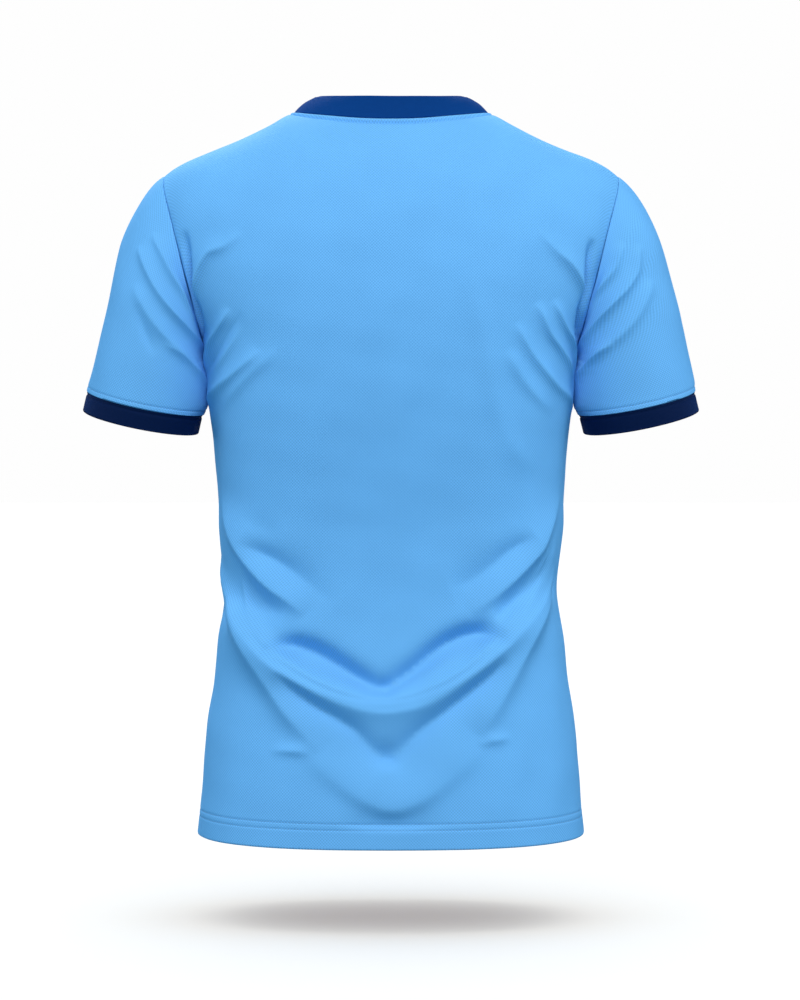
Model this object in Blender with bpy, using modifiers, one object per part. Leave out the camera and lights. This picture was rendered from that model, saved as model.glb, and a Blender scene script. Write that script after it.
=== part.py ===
"""Short-sleeved cricket jersey, worn shape with nobody in it.

Metres, +Z up. The back of the jersey looks along +Y and the front along -Y, so the wearer's
left side is at +X. The origin is the middle of the neck opening, level with the neck points,
where the wearer's neck and shoulders hold the garment. Every piece is an open surface laid
through sections that are worked out from the sizes below, with its wall on the inner side.
"""
import math
from collections import namedtuple

import bmesh
import bpy
from mathutils import Vector

# ---------------------------------------------------------------- cloth
KNIT_WALL = 0.0015
HEM_WALL = 0.0030
COLLAR_WALL = 0.0022
CUFF_WALL = 0.0024
SEAM_GAP = 0.0003
SHOULDER_PULL = 0.0004

# ---------------------------------------------------------------- heights and cut
HEM_HEIGHT = -0.7145
HEM_DIP = 0.0055
HEM_DIP_REACH = 0.150
HEM_BAND = 0.025
UNDERARM_HEIGHT = -0.228
SHOULDER_TIP = (0.2260, -0.0610)
NECK_HALF_WIDTH = 0.098
NECK_BACK_DEPTH = 0.065
NECK_FRONT_DEPTH = 0.088
NECK_FRONT_SQUARENESS = 2.2
COLLAR_TOP_HALF_WIDTH = 0.0745
COLLAR_SIDE_BULGE = 0.0040
COLLAR_BACK_BULGE = 0.0010
COLLAR_TOP_HEIGHT = 0.0206
COLLAR_TOP_DROP = 0.0074
COLLAR_TOP_SHARE = 0.87
COLLAR_FRONT_RISE = 0.0205
CUFF_WIDTH = 0.0205
CUFF_INSET = 0.0008

# One row per level of the body, from the hem up to the underarm.
Section = namedtuple("Section", "height half_width back_depth front_depth squareness")
BODY_SECTIONS = [
    Section(-0.718, 0.1930, 0.1270, 0.1300, 2.5),
    Section(-0.684, 0.1898, 0.1265, 0.1290, 2.5),
    Section(-0.640, 0.1860, 0.1240, 0.1270, 2.5),
    Section(-0.600, 0.1828, 0.1205, 0.1250, 2.4),
    Section(-0.564, 0.1765, 0.1165, 0.1235, 2.4),
    Section(-0.520, 0.1722, 0.1110, 0.1225, 2.4),
    Section(-0.474, 0.1655, 0.1070, 0.1225, 2.4),
    Section(-0.414, 0.1720, 0.1075, 0.1260, 2.4),
    Section(-0.384, 0.1722, 0.1105, 0.1285, 2.4),
    Section(-0.324, 0.1770, 0.1180, 0.1350, 2.4),
    Section(-0.286, 0.1815, 0.1220, 0.1380, 2.4),
    Section(-0.228, 0.1860, 0.1255, 0.1400, 2.4),
]

# The shoulder line by distance from the middle, and how roundly each panel climbs to it.
# Inside the neck it is the unseen continuation that the panels curve up to, and the front
# panel's continuation dips by NECK_FRONT_DIP at the middle.
Ridge = namedtuple("Ridge", "across height back_round front_round")
SHOULDER_RIDGE = [
    Ridge(0.000, 0.0145, 2.30, 1.70),
    Ridge(0.050, 0.0115, 2.25, 1.65),
    Ridge(0.098, 0.0015, 2.15, 1.70),
    Ridge(0.120, -0.0100, 2.25, 1.80),
    Ridge(0.150, -0.0248, 2.40, 2.00),
    Ridge(0.175, -0.0358, 2.5, 2.20),
    Ridge(0.200, -0.0452, 2.5, 2.40),
    Ridge(0.215, -0.0530, 2.5, 2.50),
    Ridge(0.226, -0.0610, 2.5, 2.50),
]
NECK_FRONT_DIP = 0.042
NECK_DIP_FLATNESS = 3
NECK_DIP_POWER = 1.5
CHEST_ROUND = 2.2

# Distance of the armhole seam from the middle, by height.
Armhole = namedtuple("Armhole", "height across")
ARMHOLE_SEAM = [
    Armhole(-0.228, 0.1860),
    Armhole(-0.196, 0.1940),
    Armhole(-0.165, 0.2020),
    Armhole(-0.127, 0.2115),
    Armhole(-0.098, 0.2190),
    Armhole(-0.073, 0.2250),
    Armhole(-0.061, 0.2260),
]
ARMHOLE_FULLNESS = 0.50
ARMHOLE_FULL_AT = 0.50
ARMHOLE_FULL_POWER = 0.50

# ---------------------------------------------------------------- sleeve
SLEEVE_OUTER_END = Vector((0.3050, -0.010, -0.2738))
SLEEVE_INNER_END = Vector((0.1876, -0.010, -0.2980))
SLEEVE_HALF_DEPTH = 0.062
SLEEVE_FORWARD_DRIFT = 0.10
SLEEVE_SEAM_GAP = 0.00045
ARM_AXIS = Vector((0.24, -0.13, -0.96)).normalized()
ARM_FORWARD_SLOPE = 0.14

# How the sleeve leaves the armhole and reaches the cuff, by the angle round the arm:
# 0 is the top of the shoulder, 90 the back, 180 the underarm and 270 the front.
Flow = namedtuple("Flow", "angle out back down end_out end_down")
SLEEVE_FLOW = [
    Flow(0, 0.145, 0.000, 0.090, 0.044, 0.195),
    Flow(45, 0.130, 0.020, 0.125, 0.040, 0.175),
    Flow(90, 0.085, 0.030, 0.120, 0.032, 0.140),
    Flow(135, 0.040, 0.018, 0.085, 0.026, 0.095),
    Flow(180, 0.000, 0.000, 0.080, 0.026, 0.060),
    Flow(225, 0.040, -0.018, 0.085, 0.026, 0.095),
    Flow(270, 0.085, -0.030, 0.120, 0.032, 0.140),
    Flow(315, 0.130, -0.020, 0.125, 0.040, 0.175),
    Flow(360, 0.145, 0.000, 0.090, 0.044, 0.195),
]

# ---------------------------------------------------------------- folds
# Each fold follows a line of (across, height) points. Its height is how far the crest stands
# out, or a trough goes in. The widths are the reach of its slope on the left and on the right
# hand of the line's direction, seen from outside the panel.
Fold = namedtuple("Fold", "height left_reach right_reach line")
BACK_FOLDS = {
    "first_swag": Fold(0.0075, 0.013, 0.014, [
        (0.163, -0.440), (0.156, -0.490), (0.138, -0.525), (0.112, -0.552), (0.080, -0.575),
        (0.043, -0.589), (0.000, -0.595), (-0.046, -0.587), (-0.088, -0.563),
        (-0.122, -0.528), (-0.146, -0.485), (-0.160, -0.440)]),
    "second_swag": Fold(0.0065, 0.020, 0.013, [
        (0.148, -0.520), (0.128, -0.552), (0.108, -0.584), (0.088, -0.614), (0.062, -0.646),
        (0.030, -0.671), (-0.009, -0.680), (-0.045, -0.668), (-0.076, -0.637),
        (-0.103, -0.600), (-0.124, -0.560), (-0.145, -0.513)]),
    "left_brow": Fold(-0.0060, 0.007, 0.014, [
        (0.118, -0.531), (0.098, -0.524), (0.074, -0.528), (0.050, -0.541), (0.025, -0.560),
        (0.006, -0.574)]),
    "right_brow": Fold(-0.0060, 0.007, 0.014, [
        (0.003, -0.574), (-0.014, -0.556), (-0.038, -0.536), (-0.062, -0.521),
        (-0.086, -0.516), (-0.101, -0.526)]),
    "left_hollow": Fold(-0.0050, 0.012, 0.012, [
        (0.165, -0.410), (0.155, -0.448), (0.142, -0.480), (0.125, -0.508)]),
    "right_hollow": Fold(-0.0050, 0.012, 0.012, [
        (-0.110, -0.506), (-0.130, -0.478), (-0.147, -0.446), (-0.160, -0.410)]),
    "left_chevron": Fold(-0.0055, 0.014, 0.013, [
        (0.096, -0.567), (0.072, -0.589), (0.043, -0.608), (0.019, -0.630), (0.000, -0.643)]),
    "right_chevron": Fold(-0.0055, 0.014, 0.013, [
        (0.000, -0.643), (-0.021, -0.628), (-0.048, -0.602), (-0.082, -0.576),
        (-0.115, -0.546)]),
}
FRONT_FOLDS = {
    "front_swag": Fold(0.0060, 0.015, 0.018, [
        (-0.158, -0.500), (-0.130, -0.560), (-0.080, -0.605), (-0.010, -0.625),
        (0.065, -0.612), (0.120, -0.570), (0.155, -0.510)]),
    "front_hollow": Fold(-0.0050, 0.016, 0.014, [
        (-0.120, -0.510), (-0.075, -0.555), (-0.010, -0.580), (0.060, -0.562),
        (0.115, -0.515)]),
}
FOLD_TAPER = 0.030
FOLD_END_SHARE = 0.25
FOLD_SEAM_REACH = 0.14
FOLD_OUTWARD_BIAS = 2.0

# ---------------------------------------------------------------- how finely each piece is laid
NECK_COLUMNS = 16
BACK_SHOULDER_COLUMNS = 10
FRONT_SHOULDER_COLUMNS = 8
ARMHOLE_ROWS = 12
SLEEVE_RINGS = 11
COLLAR_RINGS = 4
CUFF_RINGS = 2
NECK_SHARE = 0.46
COLUMN_FAN = 5.0
ROW_EASE = 1.35

# Rows of a panel below the underarm: from one height to the next, in so many steps.
Stretch = namedtuple("Stretch", "bottom top back_steps front_steps")
PANEL_STRETCHES = [
    Stretch(HEM_HEIGHT, HEM_HEIGHT + HEM_BAND, 2, 2),
    Stretch(HEM_HEIGHT + HEM_BAND, -0.400, 25, 14),
    Stretch(-0.400, UNDERARM_HEIGHT, 8, 7),
]

KNIT_BLUE = (0.122, 0.418, 0.831)
COLLAR_NAVY = (0.003, 0.045, 0.212)
CUFF_NAVY = (0.002, 0.010, 0.052)
BACK = 1
FRONT = -1


def clear_scene():
    for item in list(bpy.data.objects):
        bpy.data.objects.remove(item, do_unlink=True)


def make_collection(name):
    collection = bpy.data.collections.new(name)
    bpy.context.scene.collection.children.link(collection)
    return collection


def make_material(name, colour, roughness):
    material = bpy.data.materials.new(name)
    material.use_nodes = True
    shader = material.node_tree.nodes["Principled BSDF"]
    shader.inputs["Base Color"].default_value = (*colour, 1.0)
    shader.inputs["Roughness"].default_value = roughness
    shader.inputs["Metallic"].default_value = 0.0
    return material


def lookup(table, key, column, at):
    """Value of a table's column where its key column reaches at, on a smooth curve."""
    keys = [getattr(row, key) for row in table]
    values = [getattr(row, column) for row in table]
    last = len(keys) - 1
    at = min(max(at, keys[0]), keys[last])
    index = 0
    while index < last - 1 and at > keys[index + 1]:
        index += 1

    def slope(place):
        before, after = max(place - 1, 0), min(place + 1, last)
        return (values[after] - values[before]) / (keys[after] - keys[before])

    span = keys[index + 1] - keys[index]
    part = (at - keys[index]) / span
    start = values[index] * (1 + 2 * part) * (1 - part) ** 2
    end = values[index + 1] * (3 - 2 * part) * part ** 2
    leave = slope(index) * span * part * (1 - part) ** 2
    arrive = slope(index + 1) * span * part ** 2 * (part - 1)
    return start + end + leave + arrive


def signed_power(value, exponent):
    return math.copysign(abs(value) ** exponent, value)


# ---------------------------------------------------------------- body surface
def depth_of(side, height):
    column = "back_depth" if side == BACK else "front_depth"
    return lookup(BODY_SECTIONS, "height", column, height)


def body_point(side, share, height):
    """Point of a body section below the underarm; share runs from one side seam to the other."""
    half_width = lookup(BODY_SECTIONS, "height", "half_width", height)
    power = 2.0 / lookup(BODY_SECTIONS, "height", "squareness", height)
    turn = share * math.pi / 2
    across = half_width * signed_power(math.sin(turn), power)
    full = max(math.cos(turn), 0.0)
    out = depth_of(side, height) * full ** power
    low = max(1 - (height - HEM_HEIGHT) / HEM_DIP_REACH, 0.0)
    return Vector((across, side * out, height - HEM_DIP * full * low))


def ridge_of(side, across, rise):
    """Height of the shoulder ridge over a point, and how roundly the panel climbs there."""
    height = lookup(SHOULDER_RIDGE, "across", "height", across)
    if side == BACK:
        top_round = lookup(SHOULDER_RIDGE, "across", "back_round", across)
    else:
        top_round = lookup(SHOULDER_RIDGE, "across", "front_round", across)
        part = min(across / NECK_HALF_WIDTH, 1.0)
        height -= NECK_FRONT_DIP * (1 - part ** NECK_DIP_FLATNESS) ** NECK_DIP_POWER
    return height, CHEST_ROUND + (top_round - CHEST_ROUND) * rise


def armhole_fullness(rise):
    """Share of the panel's depth that the armhole seam reaches at this rise."""
    turn = min(rise / ARMHOLE_FULL_AT, 1.0) * math.pi / 2
    return ARMHOLE_FULLNESS * math.sin(turn) ** ARMHOLE_FULL_POWER


def neck_point(side, share):
    """Plan position of the neck seam; share is -1 and 1 at the neck points, 0 at the middle."""
    turn = share * math.pi / 2
    if side == BACK:
        return NECK_HALF_WIDTH * math.sin(turn), NECK_BACK_DEPTH * max(math.cos(turn), 0.0)
    power = 2.0 / NECK_FRONT_SQUARENESS
    across = NECK_HALF_WIDTH * math.sin(turn) ** power
    return across, NECK_FRONT_DEPTH * max(math.cos(turn), 0.0) ** power


def upper_point(side, share, rise):
    """Point of a panel above the underarm.

    The rise is 0 at the underarm and 1 on the shoulder seam and the neck seam. Each column
    climbs a rounded profile up to the shoulder ridge, and the columns fan out round the neck.
    """
    squareness = BODY_SECTIONS[-1].squareness
    power = 2.0 / squareness
    ease = rise ** ROW_EASE
    edge_turn = math.acos(armhole_fullness(rise) ** (squareness / 2))
    tip_climb = climb_of(SHOULDER_RIDGE[-1].back_round, ease * math.pi / 2)
    edge_height = UNDERARM_HEIGHT + (SHOULDER_TIP[1] - UNDERARM_HEIGHT) * tip_climb
    edge_across = lookup(ARMHOLE_SEAM, "height", "across", edge_height)

    spread = signed_power(math.sin(share * edge_turn) / math.sin(edge_turn), power)
    size = abs(share)
    if size < NECK_SHARE:
        top_across, top_depth = neck_point(side, size / NECK_SHARE)
    else:
        part = (size - NECK_SHARE) / (1 - NECK_SHARE)
        top_across = NECK_HALF_WIDTH + (SHOULDER_TIP[0] - NECK_HALF_WIDTH) * part
        top_depth = 0.0
    fan = rise ** COLUMN_FAN
    across = (1 - fan) * abs(spread) * edge_across + fan * top_across

    top_full = panel_fullness(top_across, SHOULDER_TIP[0], 1.0, squareness)
    _, top_round = ridge_of(side, top_across, 1.0)
    chest_depth = depth_of(side, UNDERARM_HEIGHT)
    top_turn = math.acos(min((top_depth / (chest_depth * top_full)) ** (top_round / 2), 1.0))
    turn = ease * top_turn

    ridge_height, roundness = ridge_of(side, across, rise)
    full = panel_fullness(across, edge_across, rise, squareness)
    out = chest_depth * full * max(math.cos(turn), 0.0) ** (2.0 / roundness)
    height = UNDERARM_HEIGHT + (ridge_height - UNDERARM_HEIGHT) * climb_of(roundness, turn)
    return Vector((math.copysign(across, share), side * out, height))


def climb_of(roundness, turn):
    """Share of the way up to the shoulder ridge at this turn of a panel's rounded profile."""
    return math.sin(turn) ** (2.0 / roundness)


def panel_fullness(across, edge_across, rise, squareness):
    """Depth of a section at this distance from the middle, as a share of its depth there."""
    edge_full = armhole_fullness(rise)
    reach = (1 - edge_full ** squareness) ** (1 / squareness)
    part = min(reach * across / edge_across, 1.0)
    return max(1 - part ** squareness, 0.0) ** (1 / squareness)


# ---------------------------------------------------------------- folds
def side_of_line(point, start, end):
    """Distance of a point from a straight piece, its side, and how far along it lies."""
    run = (end[0] - start[0], end[1] - start[1])
    away = (point[0] - start[0], point[1] - start[1])
    length = math.hypot(*run)
    along = min(max((away[0] * run[0] + away[1] * run[1]) / length ** 2, 0.0), 1.0)
    rest = (away[0] - along * run[0], away[1] - along * run[1])
    cross = run[0] * away[1] - run[1] * away[0]
    return math.hypot(*rest), math.copysign(1.0, cross), along * length, length


def fold_lift(folds, side, point):
    """How far the folds lift a panel's point off its plain surface."""
    place = (-side * point.x, point.z)
    lift = 0.0
    for fold in folds.values():
        line = [(-side * across, height) for across, height in fold.line]
        nearest = None
        walked = 0.0
        for start, end in zip(line, line[1:]):
            distance, hand, along, length = side_of_line(place, start, end)
            if nearest is None or distance < nearest[0]:
                nearest = (distance, hand, walked + along)
            walked += length
        distance, hand, along = nearest
        reach = fold.left_reach if hand > 0 else fold.right_reach
        taper = min(along / FOLD_TAPER, (walked - along) / FOLD_TAPER, 1.0)
        taper = FOLD_END_SHARE + (1 - FOLD_END_SHARE) * taper * taper * (3 - 2 * taper)
        lift += fold.height * taper * math.exp(-(distance / reach) ** 2)
    return lift


def panel_rows(side):
    """Rows of a panel from the hem upwards, each a height or a rise."""
    rows = [("height", HEM_HEIGHT)]
    for stretch in PANEL_STRETCHES:
        steps = stretch.back_steps if side == BACK else stretch.front_steps
        for step in range(1, steps + 1):
            rows.append(("height", stretch.bottom + (stretch.top - stretch.bottom) * step / steps))
    for step in range(1, ARMHOLE_ROWS + 1):
        rows.append(("rise", step / ARMHOLE_ROWS))
    return rows


def panel_columns(side):
    """Columns of a panel from one side seam to the other, closest round the neck."""
    outer = BACK_SHOULDER_COLUMNS if side == BACK else FRONT_SHOULDER_COLUMNS
    edge = [NECK_SHARE + (1 - NECK_SHARE) * step / outer for step in range(1, outer + 1)]
    middle = [NECK_SHARE * (2 * step / NECK_COLUMNS - 1) for step in range(NECK_COLUMNS + 1)]
    return [-share for share in reversed(edge)] + middle + edge


def panel_grid(side):
    """Points of a panel, row by row, seen from outside with the hem below."""
    folds = BACK_FOLDS if side == BACK else FRONT_FOLDS
    grid = []
    for kind, level in panel_rows(side):
        row = []
        for share in panel_columns(side):
            share = -side * share
            if kind == "height":
                point = body_point(side, share, level)
                outward = Vector((point.x, point.y * FOLD_OUTWARD_BIAS, 0.0)).normalized()
                seam_fade = min((1 - abs(share)) / FOLD_SEAM_REACH, 1.0)
                row.append(point + outward * fold_lift(folds, side, point) * seam_fade)
            else:
                row.append(upper_point(side, share, level))
        grid.append(row)
    return grid


# ---------------------------------------------------------------- sleeve
def armhole_loop():
    """Seam points round the left armhole, from the shoulder tip over the back to the front."""
    rises = [step / ARMHOLE_ROWS for step in range(ARMHOLE_ROWS + 1)]
    back = [upper_point(BACK, 1.0, rise) for rise in rises]
    front = [upper_point(FRONT, 1.0, rise) for rise in rises]
    return list(reversed(back)) + front[1:-1]


def sleeve_end(angle):
    """Point of the ring where the sleeve meets its cuff."""
    middle = (SLEEVE_OUTER_END + SLEEVE_INNER_END) / 2
    half = (SLEEVE_OUTER_END - SLEEVE_INNER_END) / 2
    depth = Vector((0, SLEEVE_HALF_DEPTH, -SLEEVE_HALF_DEPTH * ARM_FORWARD_SLOPE))
    return middle + half * math.cos(angle) + depth * math.sin(angle)


def sleeve_point(start, turn, part):
    """Point of the sleeve on a curve from the armhole to the cuff."""
    degrees = math.degrees(turn)
    flow = {name: lookup(SLEEVE_FLOW, "angle", name, degrees) for name in Flow._fields[1:]}
    leave = Vector((flow["out"], flow["back"], -flow["down"]))
    drift = SLEEVE_FORWARD_DRIFT * flow["end_down"]
    arrive = Vector((flow["end_out"], -drift, -flow["end_down"]))
    end = sleeve_end(turn)
    first = start * (1 + 2 * part) * (1 - part) ** 2 + end * (3 - 2 * part) * part ** 2
    return first + leave * part * (1 - part) ** 2 + arrive * part ** 2 * (part - 1)


def sleeve_grid(hand):
    """Rings of a sleeve from the armhole to the cuff; hand is 1 for the wearer's left."""
    loop = armhole_loop()
    rows = []
    for ring in range(SLEEVE_RINGS + 1):
        part = ring / SLEEVE_RINGS
        row = []
        for place, seam in enumerate(loop):
            turn = 2 * math.pi * place / len(loop)
            start = seam + Vector((SLEEVE_SEAM_GAP, 0, 0))
            point = sleeve_point(start, turn, part)
            row.append(Vector((hand * point.x, point.y, point.z)))
        rows.append(order_ring(row, hand))
    return rows


def order_ring(row, hand):
    """A closed ring of points, in the direction that turns its wall outwards."""
    closed = row + [row[0]]
    return list(reversed(closed)) if hand > 0 else closed


# ---------------------------------------------------------------- cuff and collar
def cuff_grid(hand):
    count = 2 * ARMHOLE_ROWS
    middle = (SLEEVE_OUTER_END + SLEEVE_INNER_END) / 2
    rows = []
    for ring in range(CUFF_RINGS + 1):
        drop = SEAM_GAP + (CUFF_WIDTH - SEAM_GAP) * ring / CUFF_RINGS
        row = []
        for place in range(count):
            edge = sleeve_end(2 * math.pi * place / count)
            inward = (middle - edge).normalized() * CUFF_INSET
            point = edge + inward + ARM_AXIS * drop
            row.append(Vector((hand * point.x, point.y, point.z)))
        rows.append(order_ring(row, hand))
    return rows


def collar_top(seam):
    """Point of the collar's upper edge over a point of the neck seam."""
    across = seam.x * COLLAR_TOP_HALF_WIDTH / NECK_HALF_WIDTH
    if seam.y >= 0:
        height = COLLAR_TOP_HEIGHT - COLLAR_TOP_DROP * seam.y / NECK_BACK_DEPTH
    else:
        height = seam.z + COLLAR_FRONT_RISE
    return Vector((across, seam.y * COLLAR_TOP_SHARE, height))


def neck_loop():
    """Neck seam points, round from the middle of the back over the wearer's right side."""
    shares = [2 * step / NECK_COLUMNS - 1 for step in range(NECK_COLUMNS + 1)]
    back = [upper_point(BACK, NECK_SHARE * share, 1.0) for share in shares]
    front = [upper_point(FRONT, NECK_SHARE * share, 1.0) for share in shares]
    return back + list(reversed(front))[1:-1]


def collar_grid():
    loop = neck_loop()
    rows = []
    for ring in range(COLLAR_RINGS + 1):
        row = []
        for seam in loop:
            part = ring / COLLAR_RINGS
            rise = collar_top(seam) - seam
            start = seam + rise.normalized() * SEAM_GAP
            point = start.lerp(seam + rise, part)
            sideways = (seam.x / NECK_HALF_WIDTH) ** 2
            bulge = COLLAR_BACK_BULGE + (COLLAR_SIDE_BULGE - COLLAR_BACK_BULGE) * sideways
            outward = Vector((seam.x, seam.y, NECK_HALF_WIDTH * sideways)).normalized()
            row.append(point + outward * bulge * 4 * part * (1 - part))
        rows.append(order_ring(row, BACK))
    return rows


# ---------------------------------------------------------------- building a piece
def pull_back_edges(grid, left, right, top):
    """Shorten a panel's outer cells, so that a seam gap opens beside it."""
    def nearer(point, inner, distance):
        return point + (inner - point).normalized() * distance

    for row in grid:
        row[0] = nearer(row[0], row[1], left)
        row[-1] = nearer(row[-1], row[-2], right)
    for index in range(len(grid[0])):
        grid[-1][index] = nearer(grid[-1][index], grid[-2][index], top)
    return grid


def cloth_piece(name, grid, wall, material, collection, band_rows=0, band_wall=None):
    """A cloth wall on a grid of points; its last column is welded to the first on a ring."""
    rows, columns = len(grid), len(grid[0])
    shape = bmesh.new()
    bmesh.ops.create_grid(shape, x_segments=columns - 1, y_segments=rows - 1, size=1.0)
    in_order = sorted(shape.verts, key=lambda vertex: (round(vertex.co.y, 5), vertex.co.x))
    thick = []
    for index, vertex in enumerate(in_order):
        row, column = divmod(index, columns)
        vertex.co = grid[row][column]
        if row <= band_rows and band_wall:
            thick.append(vertex.co.copy())
    bmesh.ops.remove_doubles(shape, verts=shape.verts, dist=0.00001)
    mesh = bpy.data.meshes.new(name)
    shape.to_mesh(mesh)
    shape.free()
    mesh.materials.append(material)
    mesh.shade_smooth()
    piece = bpy.data.objects.new(name, mesh)
    collection.objects.link(piece)
    solidify = piece.modifiers.new("Wall", "SOLIDIFY")
    solidify.thickness = wall
    solidify.offset = -1.0
    solidify.use_even_offset = True
    if band_wall:
        band = piece.vertex_groups.new(name="band")
        places = {tuple(round(value, 6) for value in place) for place in thick}
        chosen = [vertex.index for vertex in mesh.vertices
                  if tuple(round(value, 6) for value in vertex.co) in places]
        band.add(chosen, 1.0, "REPLACE")
        solidify.vertex_group = band.name
        solidify.thickness = band_wall
        solidify.thickness_vertex_group = wall / band_wall
    return piece


def build():
    clear_scene()
    jersey = make_collection("cricket_jersey")
    knit = make_material("light_blue_knit", KNIT_BLUE, 0.75)
    collar_rib = make_material("navy_collar_rib", COLLAR_NAVY, 0.80)
    cuff_rib = make_material("navy_cuff_rib", CUFF_NAVY, 0.80)
    half_gap = SEAM_GAP / 2

    for name, side in (("back_panel", BACK), ("front_panel", FRONT)):
        grid = pull_back_edges(panel_grid(side), half_gap, half_gap, SHOULDER_PULL)
        cloth_piece(name, grid, KNIT_WALL, knit, jersey, band_rows=2, band_wall=HEM_WALL)

    for word, hand in (("left", 1), ("right", -1)):
        cloth_piece("sleeve_" + word, sleeve_grid(hand), KNIT_WALL, knit, jersey)
        cloth_piece("cuff_" + word, cuff_grid(hand), CUFF_WALL, cuff_rib, jersey)

    cloth_piece("collar_band", collar_grid(), COLLAR_WALL, collar_rib, jersey)


build()
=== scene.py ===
import math
from collections import namedtuple

import bpy
import numpy as np
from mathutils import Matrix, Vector
from mathutils.kdtree import KDTree


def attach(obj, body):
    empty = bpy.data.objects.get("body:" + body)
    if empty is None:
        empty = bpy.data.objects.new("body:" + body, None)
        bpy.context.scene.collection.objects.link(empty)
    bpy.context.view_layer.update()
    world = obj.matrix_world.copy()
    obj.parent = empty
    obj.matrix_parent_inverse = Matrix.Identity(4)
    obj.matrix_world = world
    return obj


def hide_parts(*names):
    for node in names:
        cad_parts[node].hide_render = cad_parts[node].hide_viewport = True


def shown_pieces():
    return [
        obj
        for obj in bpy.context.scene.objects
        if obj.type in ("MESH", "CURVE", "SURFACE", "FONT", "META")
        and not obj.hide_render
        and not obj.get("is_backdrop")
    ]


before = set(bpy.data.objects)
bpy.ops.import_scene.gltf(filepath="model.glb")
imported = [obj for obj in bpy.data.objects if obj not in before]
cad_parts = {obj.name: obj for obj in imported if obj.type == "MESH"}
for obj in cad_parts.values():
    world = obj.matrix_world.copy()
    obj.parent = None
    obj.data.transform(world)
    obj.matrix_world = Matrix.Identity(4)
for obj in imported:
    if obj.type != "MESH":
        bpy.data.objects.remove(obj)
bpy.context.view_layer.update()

bl_info = {
    "name": "Cricket Jersey",
    "version": (1, 0, 0),
    "blender": (4, 5, 0),
    "location": "3D View > Sidebar > Jersey",
    "description": "Lays the cloth, seams, stitches and studio of a short-sleeved cricket jersey",
    "category": "Object",
}

BACK = 1
FRONT = -1
MM = 0.001

# ---------------------------------------------------------------- the form under the folds
HEM_HEIGHT = -0.7145
HEM_DIP = 0.0055
HEM_DIP_REACH = 0.150
UNDERARM_HEIGHT = -0.228
SHOULDER_TIP = (0.2260, -0.0610)
NECK_HALF_WIDTH = 0.098
NECK_BACK_DEPTH = 0.065
NECK_FRONT_DEPTH = 0.088
NECK_FRONT_SQUARENESS = 2.2
NECK_SHARE = 0.46
NECK_FRONT_DIP = 0.042
NECK_DIP_FLATNESS = 3
NECK_DIP_POWER = 1.5
COLLAR_TOP_HALF_WIDTH = 0.0745
COLLAR_SIDE_BULGE = 0.0022
COLLAR_BACK_BULGE = 0.0010
COLLAR_TOP_HEIGHT = 0.0206
COLLAR_TOP_DROP = 0.0074
COLLAR_TOP_SHARE = 0.87
COLLAR_FRONT_RISE = 0.0205
COLLAR_SMOOTHING = 8
COLLAR_CORNER_DROP = 0.0012
COLLAR_CORNER_START = 0.065
COLLAR_CORNER_REACH = 0.0095
CUFF_WIDTH = 0.0205
CUFF_INSET = 0.0008
CHEST_ROUND = 2.2
ARMHOLE_FULLNESS = 0.50
ARMHOLE_FULL_AT = 0.50
ARMHOLE_FULL_POWER = 0.50
SLEEVE_OUTER_END = np.array([0.3050, -0.010, -0.2738])
SLEEVE_INNER_END = np.array([0.1876, -0.010, -0.2980])
SLEEVE_HALF_DEPTH = 0.062
SLEEVE_FORWARD_DRIFT = 0.10
SLEEVE_SEAM_GAP = 0.00045
ARM_AXIS = np.array(Vector((0.24, -0.13, -0.96)).normalized())
ARM_FORWARD_SLOPE = 0.14
COLUMN_FAN = 5.0
ROW_EASE = 1.35

Section = namedtuple("Section", "height half_width back_depth front_depth squareness")
BODY_SECTIONS = [
    Section(-0.718, 0.1930, 0.1270, 0.1300, 2.5),
    Section(-0.684, 0.1898, 0.1265, 0.1290, 2.5),
    Section(-0.640, 0.1860, 0.1240, 0.1270, 2.5),
    Section(-0.600, 0.1828, 0.1205, 0.1250, 2.4),
    Section(-0.564, 0.1765, 0.1165, 0.1235, 2.4),
    Section(-0.520, 0.1722, 0.1110, 0.1225, 2.4),
    Section(-0.474, 0.1655, 0.1070, 0.1225, 2.4),
    Section(-0.414, 0.1720, 0.1075, 0.1260, 2.4),
    Section(-0.384, 0.1722, 0.1105, 0.1285, 2.4),
    Section(-0.324, 0.1770, 0.1180, 0.1350, 2.4),
    Section(-0.286, 0.1815, 0.1220, 0.1380, 2.4),
    Section(-0.228, 0.1860, 0.1255, 0.1400, 2.4),
]

Ridge = namedtuple("Ridge", "across height back_round front_round")
SHOULDER_RIDGE = [
    Ridge(-0.050, 0.0115, 2.25, 1.65),
    Ridge(0.000, 0.0145, 2.30, 1.70),
    Ridge(0.050, 0.0115, 2.25, 1.65),
    Ridge(0.098, 0.0015, 2.15, 1.70),
    Ridge(0.120, -0.0100, 2.25, 1.80),
    Ridge(0.150, -0.0248, 2.40, 2.00),
    Ridge(0.175, -0.0358, 2.5, 2.20),
    Ridge(0.200, -0.0452, 2.5, 2.40),
    Ridge(0.215, -0.0530, 2.5, 2.50),
    Ridge(0.226, -0.0610, 2.5, 2.50),
]

Armhole = namedtuple("Armhole", "height across")
ARMHOLE_SEAM = [
    Armhole(-0.228, 0.1860),
    Armhole(-0.196, 0.1940),
    Armhole(-0.165, 0.2020),
    Armhole(-0.127, 0.2115),
    Armhole(-0.098, 0.2190),
    Armhole(-0.073, 0.2250),
    Armhole(-0.061, 0.2260),
]

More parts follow.
